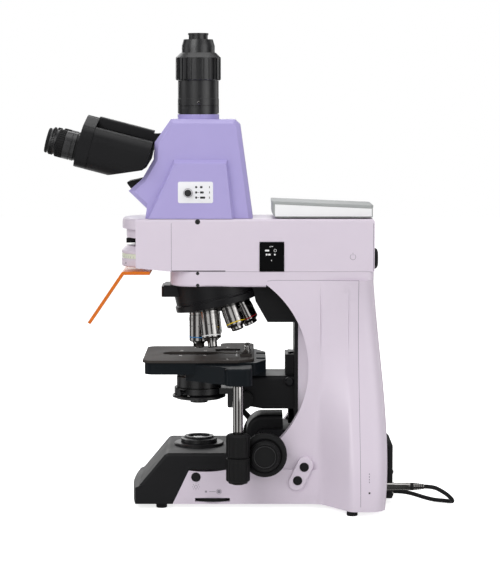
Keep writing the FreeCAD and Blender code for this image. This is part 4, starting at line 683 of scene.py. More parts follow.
    @classmethod
    def screws(cls, name: str, places: list[tuple[Vector, Vector]], radius: float, rise: float,
               finish: Finish) -> Mesh:
        """Socket-head screws at places, each with its own direction.

        Args:
            name: Name of the mesh.
            places: Head seat and outward direction of each screw, in the frame.
            radius: Head radius in millimetres.
            rise: Height of the head.
            finish: What the screws are made of.

        Returns:
            The mesh in the frame.
        """
        head = lathe([(radius, 0), (radius, rise * 0.7), (radius * 0.85, rise),
                      (radius * 0.5, rise), (radius * 0.45, rise * 0.3), (0, rise * 0.25)], 18)
        shape = linked(name + "_head", to_mesh(name + "_head", head))
        seats = bpy.data.meshes.new(name + "_seats")
        seats.from_pydata([tuple(p) for p, _ in places], [], [])
        turns = seats.attributes.new("turn", "FLOAT_VECTOR", "POINT")
        for item, (_, way) in zip(turns.data, places):
            item.vector = way.normalized().to_track_quat("Z", "Y").to_euler()
        made, given = cls.tree(name, Head="Object")
        points = add(made, "GeometryNodeMeshToPoints", {}, {"Mesh": given.outputs["Geometry"]})
        turn = add(made, "GeometryNodeInputNamedAttribute",
                   {"data_type": "FLOAT_VECTOR", "Name": "turn"})
        shown = add(made, "GeometryNodeObjectInfo", {}, {"Object": given.outputs["Head"]})
        placed = add(made, "GeometryNodeInstanceOnPoints", {},
                     {"Points": points, "Instance": shown.outputs["Geometry"],
                      "Rotation": turn.outputs["Attribute"]})
        cls.ending(made, placed, finish.material())
        mesh = cls.baked(name, made, seats, Head=shape)
        bpy.data.objects.remove(shape)
        return mesh


class Side(Enum):
    """Which of a matching pair is meant."""

    RIGHT = 1
    LEFT = -1

    @property
    def word(self) -> str:
        """Ending of the pieces' names."""
        return self.name.lower()


@dataclass
class Assembly:
    """Base of the sub-assemblies: the frame and what all of them do with it."""

    frame: dict

    def clad(self, finish: Surface, *nodes: str) -> None:
        """Put a smooth copy of each CAD node in its place, in a real finish.

        Args:
            finish: What the nodes are made of.
            nodes: CAD nodes.
        """
        for node in nodes:
            source = self.frame["nodes"][node]
            form = bmesh.new()
            form.from_mesh(source.data)
            bmesh.ops.remove_doubles(form, verts=form.verts, dist=SKIN_WELD)
            form.verts.index_update()
            faces = [[v.index for v in f.verts] for f in form.faces]
            mesh = bpy.data.meshes.new(node + "_skin")
            mesh.from_pydata([v.co[:] for v in form.verts], [], faces)
            form.free()
            piece = register(node + "_skin", mesh, finish, source["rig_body"], SKIN_CREASE)
            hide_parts(node)

    def turned_piece(self, name: str, profile: Corners, place: Matrix, finish: Surface, body: str,
                     steps: int = 96) -> None:
        """Make a piece on the lathe.

        Args:
            name: Name of the piece.
            profile: Corners as (radius, height) in millimetres.
            place: Transform from local metres to the frame.
            finish: What it is made of.
            body: Body that it moves with.
            steps: Faces round the turn.
        """
        register(name, to_mesh(name, lathe(profile, steps), place), finish, body)

    def marks(self, name: str, face_x: float, bars: list[tuple[float, float, float, float]],
              finish: Finish, body: str) -> None:
        """Print small bars and dots on a face that looks to the user's right.

        Args:
            name: Name of the piece.
            face_x: Place of the face, in millimetres.
            bars: Middle Y, middle Z, width and height of each mark.
            finish: Ink.
            body: Body that it moves with.
        """
        forms = []
        for y, z, width, height in bars:
            radius = min(width, height) * 0.3
            forms.append(slab(rounded(width, height, radius, (y, z), 4), INK_ROOT, INK_TOP))
        register(name, to_mesh(name, merged(*forms), Drawing.on_side(face_x)), finish, body)

    def seam(self, name: str, node: str, route: Corners, finish: Finish, body: str,
             width: float = 0.5, sides: tuple[Side, ...] = tuple(Side)) -> None:
        """Draw the thin shadow line where two pieces meet, or a printed line, on a node's side.

        Args:
            name: Name of the pieces.
            node: CAD node whose sides carry the line.
            route: Corners as (Y, Z) drawing places.
            finish: Colour of the line.
            body: Body that it moves with.
            width: Width of the line in millimetres.
            sides: Sides of the instrument that carry it.
        """
        skin = self.frame["nodes"][node].data
        tree = BVHTree.FromPolygons([v.co for v in skin.vertices],
                                    [p.vertices[:] for p in skin.polygons])
        spots = []
        for (y0, z0), (y1, z1) in zip(route, route[1:]):
            steps = max(int(math.hypot(y1 - y0, z1 - z0) / SEAM_STEP), 1)
            spots += [(y0 + (y1 - y0) * i / steps, z0 + (z1 - z0) * i / steps)
                      for i in range(steps)]
        spots.append(route[-1])
        for side in sides:
            way = RIGHT * side.value
            form = bmesh.new()
            rails = []
            for here, after in zip(spots, spots[1:] + [None]):
                if after:
                    ahead = Vector((0, after[0] - here[0], after[1] - here[1])).normalized()
                across = ahead.cross(way) * width / 2
                hit = tree.ray_cast(Drawing.at(side.value * OUTSIDE, *here), -way)[0]
                if hit is None:
                    continue
                middle = hit / MM + way * SEAM_PROUD
                rails.append([form.verts.new(middle + across), form.verts.new(middle - across)])
            for (a, b), (c, d) in zip(rails, rails[1:]):
                form.faces.new([a, b, d, c])
            bmesh.ops.solidify(form, geom=form.faces[:], thickness=SEAM_THICK)
            register(f"{name}_{side.word}", to_mesh(name, form), finish, body)

    def ring_mark(self, name: str, centre: Place, radius: float, width: float, finish: Finish,
                  body: str, arc: float = 360.0, start: float = 0.0) -> None:
        """Print a thin ring, or an arc of one, on a face that looks to the user's right.

        Args:
            name: Name of the piece.
            centre: Drawing place of its middle.
            radius: Radius of the line's middle.
            width: Width of the line.
            finish: Ink.
            body: Body that it moves with.
            arc: Length of the arc in degrees.
            start: Where the arc begins, in degrees.
        """
        count = 40
        angles = [math.radians(start + arc * i / count) for i in range(count + 1)]
        form = bmesh.new()
        grid = [[form.verts.new((edge * math.cos(a), edge * math.sin(a), h)) for a in angles]
                for edge, h in ((radius + width / 2, INK_ROOT), (radius + width / 2, INK_TOP),
                                (radius - width / 2, INK_TOP), (radius - width / 2, INK_ROOT))]
        for low, high in zip(grid, grid[1:] + grid[:1]):
            for i in range(count):
                form.faces.new([low[i], low[i + 1], high[i + 1], high[i]])
        if arc < 359.9:
            form.faces.new([line[0] for line in grid])
            form.faces.new([line[-1] for line in reversed(grid)])
        register(name, to_mesh(name, form, Drawing.on_side(*centre)), finish, body)

    def repeated(self, mesh: Mesh, finish: Finish, body: str, place: Matrix | None = None) -> None:
        """Register a mesh of repeats under its own name.

        Args:
            mesh: The repeats, in the frame or in local metres.
            finish: What they are made of.
            body: Body that they move with.
            place: Transform from local metres to the frame.
        """
        if place is not None:
            mesh.transform(place)
        register(mesh.name, mesh, finish, body)


@dataclass
class Cable(Assembly):
    """Lamp cable with its plug: a short loop that goes back into the power module."""

    radius: float = 2.6
    route: tuple[Place, ...] = (
        (56.0, 279.0, 25.5), (56.0, 290.0, 25.4), (54.5, 301.0, 20.0), (51.0, 311.0, 12.5),
        (45.5, 316.5, 5.4), (38.0, 315.0, 3.2), (32.0, 306.0, 3.1), (28.5, 294.0, 3.4),
        (26.5, 281.0, 6.4), (25.3, 268.0, 10.6), (25.0, 255.0, 13.3), (25.0, 242.0, 13.5))
    relief_start: float = 262.0
    relief_radius: float = 4.75
    relief_collar: float = 3.0
    relief_tip: float = 3.2
    relief_rings: int = 6

    def build(self) -> None:
        """Make the cable's line, its relief and the plug's finish."""
        curve = bpy.data.curves.new("lamp_cable", "CURVE")
        curve.dimensions = "3D"
        curve.bevel_depth = self.radius * MM
        curve.bevel_resolution = 5
        curve.resolution_u = 12
        curve.use_fill_caps = True
        spline = curve.splines.new("NURBS")
        spline.points.add(len(self.route) - 1)
        for point, place in zip(spline.points, self.route):
            point.co = (*Drawing.at(*place), 1.0)
        spline.order_u = 3
        spline.use_endpoint_u = True
        curve.materials.append(Stock.RUBBER.material())
        piece = linked("lamp_cable", curve)
        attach(piece, "stand")
        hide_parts("epi_cable")
        self.clad(Stock.CHROME, "epi_connector")
        self.relief()
        tuple(Drawing.at(*self.route[0]))

    def relief(self) -> None:
        """Tapered rubber relief over the plug's rear, with its rings."""
        wide, collar, start = self.relief_radius, self.relief_collar, self.relief_start
        length = self.route[0][1] - start
        step = (length - collar) / self.relief_rings
        profile = [(wide, 0.0), (wide, collar)]
        for i in range(self.relief_rings):
            radius = wide + (self.relief_tip - wide) * i / self.relief_rings
            at = collar + step * i
            profile += [(radius, at), (radius, at + step * 0.55), (radius - 0.7, at + step * 0.6),
                        (radius - 0.7, at + step)]
        profile += [(0, length), (0, 0)]
        place = Drawing.turned((self.route[0][0], start, self.route[0][2]), REAR)
        self.turned_piece("plug_relief", profile, place, Stock.RUBBER, "stand", 48)


@dataclass
class Stand(Assembly):
    """Base, column, focus knobs and power inlet."""

    half_width: float = 68.0
    seam_y: float = 197.7
    seam_top: float = 280.8
    level_y: float = 208.3
    field_radius: float = 14.0
    field_top: float = 80.4
    shaft: tuple[float, float] = (82.3, 70.1)
    wheel_y: float = 18.0

    def build(self) -> None:
        """Dress the nodes and add lens, knob rings, marks, screws and seams."""
        self.clad(Stock.STAND_ENAMEL, "stand_body", "rear_cover", "arm_beam")
        self.clad(Stock.BLACK_ABS, "base_cover", "focus_housing", "power_module", "power_switch",
                  "side_button", "pad_button_upper", "pad_button_lower", "lock_lever")
        self.clad(Stock.BLACK_ENAMEL, "inner_column", "lamp_train")
        self.clad(Stock.RUBBER, "coarse_knobs", "fine_knobs", "tension_ring", "intensity_wheel",
                  "feet")
        self.clad(Stock.BLACK_ANODISED, "field_lens_mount", "field_iris_ring")
        self.field_lens()
        self.knob_faces()
        self.prints()
        self.fasteners()
        top = self.seam_top
        self.seam("column_seam", "stand_body",
                  [(83.5, 273.8), (82.4, 276.6), (85.4, 279.8), (91.8, top), (self.seam_y, top)],
                  Stock.SEAM, "stand")
        self.seam("cover_seam", "stand_body", [(self.seam_y, top), (self.seam_y, 12.0)],
                  Stock.SEAM, "stand")
        y = self.level_y
        spans = ((50.6, 52.3), (47.4, 49.2), (44.2, 46.0), (41.0, 42.8))
        for index, (low, high) in enumerate(spans):
            self.seam(f"level_mark_{index}", "rear_cover", [(y, high), (y, low)],
                      Stock.GREY_INK, "stand", 1.0, (Side.RIGHT,))
        self.seam("level_dot", "rear_cover", [(y, 30.2), (y, 28.0)], Stock.BLACK_INK, "stand", 2.2,
                  (Side.RIGHT,))

    def field_lens(self) -> None:
        """Polished lens over the lamp."""
        radius = self.field_radius - 0.1
        profile = [(0, 0), (radius, 0), (radius, 0.4)] + dome(radius, 0.4, 2.6, 6.0)
        place = Drawing.turned((0, 0, self.field_top - 4.2), UP)
        self.turned_piece("field_lens", profile, place, Stock.LENS, "stand", 64)

    def knob_faces(self) -> None:
        """Turned ring lines in the faces of the fine knobs."""
        y, z = self.shaft
        face_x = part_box("fine_knobs")[1].x / MM
        for side in Side:
            way = RIGHT * side.value
            place = Drawing.turned((side.value * face_x, y, z), way)
            ring = [(12.6, -0.3), (13.6, -0.3), (13.6, 0.25), (13.3, 0.4), (12.9, 0.4),
                    (12.6, 0.25)]
            self.turned_piece(f"fine_knob_ring_{side.word}", ring, place,
                              Stock.BLACK_ANODISED, "fine")

    def prints(self) -> None:
        """Generic marks beside the controls: a lamp with rays, and dots for its brightness."""
        x = self.half_width
        rays = [(-2.3 + 4.2 * math.cos(a), 27.4 + 3.6 * math.sin(a), 0.9, 0.9)
                for a in [math.radians(45 * i) for i in range(8)]]
        self.marks("lamp_print_rays", x, rays, Stock.GREY_INK, "stand")
        self.ring_mark("lamp_print_ring", (x, -2.3, 27.4), 1.9, 0.5, Stock.GREY_INK, "stand")
        wheel_y = self.wheel_y
        dots = [(wheel_y - 8, 21.5, 2.6, 2.6), (wheel_y + 8, 21.5, 4.2, 4.2),
                (wheel_y, 21.5, 8.0, 0.6)]
        self.marks("brightness_print", x, dots, Stock.GREY_INK, "stand")
        self.ring_mark("brightness_ring", (x, wheel_y + 8, 21.5), 3.2, 0.4, Stock.GREY_INK, "stand")

    def fasteners(self) -> None:
        """Screws of the power module and of the plate under the base."""
        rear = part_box("power_module")[1].y / MM - Drawing.offset
        seats = [(Drawing.at(x, rear, z), REAR) for x in (-34.0, 34.0) for z in (12.0, 40.0)]
        self.repeated(Repeat.screws("module_screws", seats, 2.6, 1.0, Stock.CHROME), Stock.CHROME,
                      "stand")
        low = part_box("feet")[0].z / MM
        under = [(Drawing.at(x, y, low + 6.0), -UP) for x in (-40.0, 40.0) for y in (-20.0, 150.0)]
        self.repeated(Repeat.screws("floor_plate_screws", under, 3.0, 1.2, Stock.CHROME),
                      Stock.CHROME, "stand")


@dataclass
class Stage(Assembly):
    """Mechanical stage with its holder, drive rod and condenser."""

    top: float = 184.5
    holder_y: float = 61.0
    holder_pitch: float = 36.0
    drive: tuple[float, float] = (105.0, 49.7)
    lens_seat: float = 175.7
    dial_screws: int = 3
    dial_screw_radius: float = 31.2

    def build(self) -> None:
        """Dress the nodes and add thumb screws, rod, scale, lens and screws."""
        self.clad(Stock.STAGE_ENAMEL, "stage_frame")
        self.clad(Stock.BLACK_ENAMEL, "stage_bracket")
        self.clad(Stock.STAGE_ANODISED, "stage_plate", "specimen_holder", "holder_finger")
        self.clad(Stock.BLACK_ANODISED, "condenser_carrier", "condenser_body", "aperture_dial")
        self.clad(Stock.RUBBER, "y_drive_knob", "x_drive_knob", "condenser_knob")
        self.thumb_screws()
        self.drive_rod()
        self.cross_scale()
        self.condenser_parts()
        self.plate_screws()

    def thumb_screws(self) -> None:
        """Bright knurled thumb screws over the holder's posts."""
        base = self.top + 0.15 + 3.0
        for index, x in enumerate((-self.holder_pitch / 2, self.holder_pitch / 2)):
            place = Drawing.turned((x, self.holder_y, base), UP)
            profile = [(2.9, 0.05), (4.1, 0.05), (4.1, 1.2), (3.7, 1.6), (3.95, 1.9), (3.95, 4.3),
                       (3.0, 4.8), (3.0, 5.9), (3.6, 6.2), (3.6, 7.4), (2.9, 8.0), (0, 8.05),
                       (0, 7.4)]
            self.turned_piece(f"holder_thumb_screw_{index}", profile, place, Stock.CHROME,
                              "holder", 40)

    def drive_rod(self) -> None:
        """Bright tube over the drive shaft, between the stage and the upper knob."""
        x, y = self.drive
        low, high = 99.6, 158.6
        place = Drawing.turned((x, y, low), UP)
        profile = [(6.05, 0), (6.25, 0.5), (6.25, high - low - 0.5), (6.05, high - low)]
        self.turned_piece("drive_rod_tube", profile + [(5.0, high - low), (5.0, 0)], place,
                          Stock.CHROME, "y_drive", 64)

    def cross_scale(self) -> None:
        """Printed millimetre scale across the stage plate."""
        mesh = Repeat.ticks("cross_scale", 61, 1.0, (0.18, 1.5, 0.08), 1.7, Stock.WHITE_INK)
        place = Matrix.Translation(Drawing.at(0, 47.5, self.top + 0.02))
        self.repeated(mesh, Stock.WHITE_INK, "plate", place)

    def condenser_parts(self) -> None:
        """Condenser lens and the small screws in the aperture dial."""
        place = Drawing.turned((0, 0, self.lens_seat), UP)
        radius = 9.9
        profile = [(0, 0), (radius, 0)] + dome(radius, 0.0, 0.9, 8.0)
        self.turned_piece("condenser_lens", profile, place, Stock.LENS, "condenser", 64)
        seats = []
        for index in range(self.dial_screws):
            angle = math.radians(-75 + index * 26)
            seats.append((Drawing.at(self.dial_screw_radius * math.cos(angle),
                                     self.dial_screw_radius * math.sin(angle), 134.0), UP))
        self.repeated(Repeat.screws("dial_screws", seats, 1.7, 1.0, Stock.CHROME), Stock.CHROME,
                      "aperture")

    def plate_screws(self) -> None:
        """Flush screws in the stage plate."""
        seats = [(Drawing.at(x, y, self.top - 0.25), UP)
                 for x, y in ((-24, -22), (24, -22), (-24, 8), (24, 8), (-60, 36), (60, 36))]
        self.repeated(Repeat.screws("stage_plate_screws", seats, 2.0, 0.4, Stock.CHROME),
                      Stock.CHROME, "plate")


@dataclass(frozen=True)
class Lens:
    """Sizes of one objective, measured from its seat on the nosepiece."""

    node: str
    place: int
    length: float
    nose: float
    band: float
    ink: Finish


@dataclass
class Nosepiece(Assembly):
    """Turning nosepiece with its five objectives."""

    seat: float = 236.5
    lean: float = 13.0
    pitch: float = 27.0
    radius: float = 12.0
    places: int = 6
    long_from: float = 40.0
    lenses: tuple[Lens, ...] = (
        Lens("objective_40x", 0, 44.7, 7.0, 30.2, Stock.BLUE_INK),
        Lens("objective_100x", 1, 44.8, 6.0, 29.6, Stock.WHITE_RING),
        Lens("objective_10x", 2, 30.5, 7.6, 20.4, Stock.YELLOW_RING),
        Lens("objective_4x", 3, 30.0, 8.6, 20.4, Stock.RED_RING),
        Lens("objective_20x", 5, 43.0, 7.2, 29.0, Stock.GREEN_RING))

    def build(self) -> None:
        """Dress mount and turret, and add bands, knurls and front lenses."""
        self.clad(Stock.BLACK_ENAMEL, "nosepiece_mount", "nosepiece_turret")
        for lens in self.lenses:
            self.objective(lens)

    def place_of(self, lens: Lens) -> Matrix:
        """Transform of an objective: origin on its seat, local Z to the specimen.

        Args:
            lens: The objective.

        Returns:
            The matrix from local metres to the frame.
        """
        lean = math.radians(self.lean)
        centre = Drawing.at(0, self.pitch * math.cos(lean), self.seat + self.pitch * math.sin(lean))
        axis = Vector((0, -math.sin(lean), math.cos(lean)))
        turn = Matrix.Rotation(math.radians(lens.place * 360 / self.places), 4, axis)
        down = Drawing.turned((0, 0, self.seat), -UP)
        return Matrix.Translation(centre) @ turn @ Matrix.Translation(-centre) @ down

    def objective(self, lens: Lens) -> None:
        """Finish one objective: chrome barrel, colour band, knurled grip and front lens.

        Args:
            lens: Its sizes.
        """
        place = self.place_of(lens)
        self.clad(Stock.CHROME, lens.node)
        body, radius, end = "nosepiece", self.radius, lens.length
        band = [(radius - 0.4, lens.band), (radius + 0.02, lens.band + 0.1),
                (radius + 0.02, lens.band + 1.3), (radius - 0.4, lens.band + 1.4)]
        self.turned_piece(lens.node + "_band", band, place, lens.ink, body, 72)
        grip = Repeat.ribs(lens.node + "_grip", 60, radius, (0.35, 0.5, 4.2), Stock.CHROME, 8.5)
        self.repeated(grip, Stock.CHROME, body, place)
        height = 17.0 if end > self.long_from else 15.5
        marks = Repeat.ribs(lens.node + "_print", 16, radius, (0.1, 1.6, 0.9), Stock.BLACK_INK,
                            height)
        self.repeated(marks, Stock.BLACK_INK, body, place)
        glass = lens.nose * 0.45
        rim = [(glass, end - 0.02), (glass + 0.8, end - 0.02), (glass + 0.8, end + 0.12),
               (glass, end + 0.12)]
        self.turned_piece(lens.node + "_rim", rim, place, Stock.BLACK_ANODISED, body, 48)
        front = [(0, end - 0.05), (glass, end - 0.05), (glass, end + 0.05), (0, end + 0.1)]
        self.turned_piece(lens.node + "_front_lens", front, place, Stock.LENS, body, 40)


@dataclass
class Arm(Assembly):
    """Epi-illuminator arm with its filter dial, sliders, shield and control box."""

    half_width: float = 50.0
    dial_centre: tuple[float, float] = (-48.0, 295.6)
    dial_radius: float = 47.2
    panel_x: float = 51.0
    box_half_width: float = 45.0

    def build(self) -> None:
        """Dress the nodes and add dial band, lock screws, printed marks, panels, seams and the
        painted shadow in the gap under the arm.
        """
        self.clad(Stock.STAND_ENAMEL, "epi_housing", "filter_turret")
        self.clad(Stock.BLACK_ABS, "shutter_slider")
        self.clad(Stock.PANEL, "arm_slider")
        self.clad(Stock.BLACK_ABS, "rear_cap")
        self.clad(Stock.SHIELD, "uv_shield")
        self.clad(Stock.GREY_ABS, "control_box", "control_box_lid")
        self.dial()
        self.lock_screws()
        self.prints()
        self.box_panels()
        self.seam("nose_seam", "epi_housing", [(-32.3, 355.0), (-32.3, 292.6)], Stock.SEAM, "stand")
        self.seam("rear_panel_seam", "epi_housing", [(215.8, 354.6), (215.8, 292.6)], Stock.SEAM,
                  "stand", 0.7)
        # Painted shadow: a black ink line stands for the shade in the gap under the arm.
        self.seam("arm_gap", "epi_housing", [(-32.0, 292.3), (34.0, 292.3)], Stock.BLACK_INK,
                  "stand", 1.1)

    def box_panels(self) -> None:
        """White side panels of the grey control box."""
        for side in Side:
            corners = [(94.8, 359.2), (213.6, 359.2), (213.6, 368.6), (94.8, 374.0)]
            mesh = to_mesh("box_panel", slab(corners, -0.1, 0.4, 0.3),
                           Drawing.on_side(side.value * self.box_half_width))
            register(f"box_panel_{side.word}", mesh, Stock.WHITE_ENAMEL, "stand")

    def dial(self) -> None:
        """Pale band with its ticks round the filter dial."""
        y, base = self.dial_centre
        place = Drawing.turned((0, y, base), UP)
        radius = self.dial_radius
        band = [(radius - 0.2, 10.3), (radius + 0.35, 10.5), (radius + 0.35, 16.0),
                (radius - 0.2, 16.2)]
        self.turned_piece("filter_dial_band", band, place, Stock.DIAL_BAND, "filters", 128)
        ticks = Repeat.ribs("filter_dial_ticks", 60, radius + 0.35, (0.1, 0.5, 2.2),
                            Stock.GREY_INK, 12.2)
        self.repeated(ticks, Stock.GREY_INK, "filters", place)
        stops = Repeat.ribs("filter_dial_stops", 6, radius + 0.8, (0.12, 1.8, 1.8),
                            Stock.BLACK_INK, 4.5)
        self.repeated(stops, Stock.BLACK_INK, "filters", place)

    def lock_screws(self) -> None:
        """Black grub screws in the beam's and the head mount's notches, on both sides."""
        screw = [(2.2, 0), (2.2, 1.4), (1.9, 1.65), (0, 1.65), (0, 0)]
        spots = [(side, z) for side in Side for z in (289.3, 274.6)]
        for index, (side, z) in enumerate(spots):
            place = Drawing.turned((side.value * (self.half_width - 1.5), 0.0, z),
                                   RIGHT * side.value)
            self.turned_piece(f"beam_lock_screw_{index}", screw, place, Stock.BLACK_ANODISED,
                              "stand", 32)
        screw = [(3.1, 0), (3.1, 3.2), (2.7, 3.6), (1.4, 3.6), (1.2, 2.4), (0, 2.4), (0, 0)]
        for side in Side:
            place = Drawing.turned((side.value * (self.half_width - 3.4), 0.0, 352.6),
                                   RIGHT * side.value)
            self.turned_piece(f"head_lock_screw_{side.word}", screw, place,
                              Stock.BLACK_ANODISED, "stand", 36)

    def prints(self) -> None:
        """Generic marks on the slider's face and a small ring on the housing's side."""
        x = self.panel_x
        bars = [(85.2, 317.6, 5.2, 2.2), (93.6, 317.6, 0.9, 0.9), (84.6, 312.6, 2.0, 2.4),
                (88.0, 312.6, 3.0, 2.2), (91.4, 322.6, 2.2, 0.8), (88.8, 322.2, 0.8, 1.4),
                (94.6, 312.6, 2.0, 2.0), (90.6, 305.4, 0.8, 1.6)]
        self.marks("slider_print", x, bars, Stock.WHITE_INK, "side_slider")
        self.ring_mark("slider_ring_upper", (x, 95.0, 317.6), 1.6, 0.4, Stock.WHITE_INK,
                       "side_slider")
        self.ring_mark("housing_ring", (self.half_width, 190.5, 309.6), 3.4, 0.5, Stock.GREY_INK,
                       "stand", 300.0, 120.0)
        self.marks("housing_ring_stem", self.half_width, [(190.5, 313.2, 0.6, 3.0)],
                   Stock.GREY_INK, "stand")


@dataclass
class Head(Assembly):
    """Trinocular head with its camera tube."""

    boss_x: float = 49.0
    label_thick: float = 0.32
    barrel: float = 25.6
    tube_top: float = 583.7

    def build(self) -> None:
        """Dress the nodes and add label, set screws and port thread."""
        self.clad(Stock.HEAD_ENAMEL, "head_housing")
        self.clad(Stock.BLACK_ABS, "head_lip")
        self.clad(Stock.BLACK_ANODISED, "splitter_rod", "camera_adapter", "adapter_ring")
        self.label()
        self.set_screws()
        self.port()

    def label(self) -> None:
        """White plate on the right boss with generic marks of the three beam paths."""
        plate = slab(rounded(43.0, 26.2, 2.2, (-2.5, 388.7)), -0.1, self.label_thick, 0.12)
        register("beam_label", to_mesh("beam_label", plate, Drawing.on_side(self.boss_x)),
                 Stock.LABEL, "stand")
        face = self.boss_x + self.label_thick
        bars = []
        for z, width in ((395.2, 3.2), (388.7, 4.6), (382.4, 6.4)):
            bars += [(-1.6, z, 2.6, 2.6), (3.0 + width / 2, z, width, 2.6), (14.6, z, 0.9, 2.4)]
        bars += [(0.9, 388.7, 1.4, 0.7), (0.9, 382.4, 1.4, 0.7)]
        self.marks("beam_label_print", face, bars, Stock.BLACK_INK, "stand")
        self.ring_mark("beam_label_ring", (face, -11.7, 388.0), 5.4, 0.5, Stock.GREY_INK, "stand")

    def set_screws(self) -> None:
        """Small set screws of the camera tube, and the two dark rings round it."""
        ways = [Vector((math.cos(a), math.sin(a), 0)) for a in map(math.radians, (3, 123, 243))]
        seats = [(Drawing.at(0, 0, 498.0) + way * (self.barrel - 0.6) * MM, way) for way in ways]
        self.repeated(Repeat.screws("tube_set_screws", seats, 1.9, 0.9, Stock.CHROME),
                      Stock.CHROME, "stand")
        for index, height in enumerate((493.4, 494.8)):
            place = Drawing.turned((0, 0, height), UP)
            ring = [(self.barrel - 0.2, 0), (self.barrel + 0.12, 0.15), (self.barrel + 0.12, 0.45),
                    (self.barrel - 0.2, 0.6)]
            self.turned_piece(f"tube_ring_{index}", ring, place, Stock.BLACK_ANODISED, "stand")

    def port(self) -> None:
        """Dark thread of the camera port."""
        profile = [(9.6, -6.0)]
        for i in range(7):
            at = -5.6 + i * 0.75
            profile += [(8.9, at), (8.55, at + 0.35), (8.9, at + 0.7)]
        profile += [(9.2, 0.05), (11.4, 0.08), (11.8, -0.1), (9.6, -0.1)]
        place = Drawing.turned((0, 0, self.tube_top), UP)
        self.turned_piece("port_thread", profile, place, Stock.BLACK_ANODISED, "stand", 72)


@dataclass
class Binocular(Assembly):
    """Tilting binocular body with prism housings and eyepieces."""

    hinge: Place = (0.0, -139.2, 471.6)
    tilt: float = 14.5
    drop: float = 30.0
    spacing: float = 62.0
    tube: float = 3.5
    barrel: float = 17.3
    length: float = 36.0
    glass: float = 10.4

    def build(self) -> None:
        """Dress the nodes and add lenses, eyecups, ribs and screws."""
        self.clad(Stock.BLACK_ENAMEL, "binocular_body")
        for side in Side:
            self.clad(Stock.BLACK_ENAMEL, "prism_housing_" + side.word)
            self.clad(Stock.BLACK_ANODISED, "eyepiece_" + side.word)
            self.clad(Stock.RUBBER, "diopter_ring_" + side.word)
            self.eyepiece(side)
            self.plate_screws(side)

    def placed(self) -> Matrix:
        """Transform of the binocular body: origin on the hinge, local Z to the eye."""
        turn = Matrix.Rotation(math.radians(90 - self.tilt), 4, "X")
        return Matrix.Translation(Drawing.at(*self.hinge)) @ turn

    def eyepiece(self, side: Side) -> None:
        """Glass, rubber eyecup and ribbed grip of one eyepiece.

        Args:
            side: Which eyepiece.
        """
        name, body = side.word, side.word + "_tube"
        shift = Matrix.Translation((side.value * self.spacing / 2 * MM, -self.drop * MM,
                                    self.tube * MM))
        place = self.placed() @ shift
        end = self.length
        glass = [(0, end - 4.0), (self.glass, end - 4.2)] + dome(self.glass, end - 4.0, 1.3, 8.0)
        self.turned_piece(f"eyepiece_glass_{name}", glass, place, Stock.LENS, body, 64)
        cup = [(self.barrel - 3.5, end - 2.7), (self.barrel - 1.9, end - 2.5),
               (self.barrel - 1.7, end - 1.2), (self.barrel - 1.9, end - 0.3),
               (self.barrel - 2.7, end + 0.35), (12.0, end + 0.2), (11.2, end - 0.5),
               (12.0, end - 0.9)]
        self.turned_piece(f"eyecup_{name}", cup, place, Stock.RUBBER, body, 80)
        grip = Repeat.ribs(f"eyepiece_grip_{name}", 48, self.barrel - 1.3, (0.7, 0.9, 4.6),
                           Stock.RUBBER, end - 7.4)
        self.repeated(grip, Stock.RUBBER, body, place)
        ring = [(self.barrel - 0.2, 5.8), (self.barrel + 0.12, 6.0), (self.barrel + 0.12, 6.5),
                (self.barrel - 0.2, 6.7)]
        self.turned_piece(f"eyepiece_ring_{name}", ring, place, Stock.BLACK_ANODISED, body)

    def plate_screws(self, side: Side) -> None:
        """Screws in the front plate of one prism housing.

        Args:
            side: Which housing.
        """
        base = self.placed()
        way = base.to_3x3() @ UP
        spots = ((20.0, 5.5), (49.0, -8.0), (13.0, -43.5), (46.0, -47.0))
        seats = [(base @ (Vector((side.value * u, v, -0.4)) * MM), way) for u, v in spots]
        mesh = Repeat.screws(f"housing_screws_{side.word}", seats, 1.8, 0.7, Stock.CHROME)
        self.repeated(mesh, Stock.CHROME, side.word + "_tube")


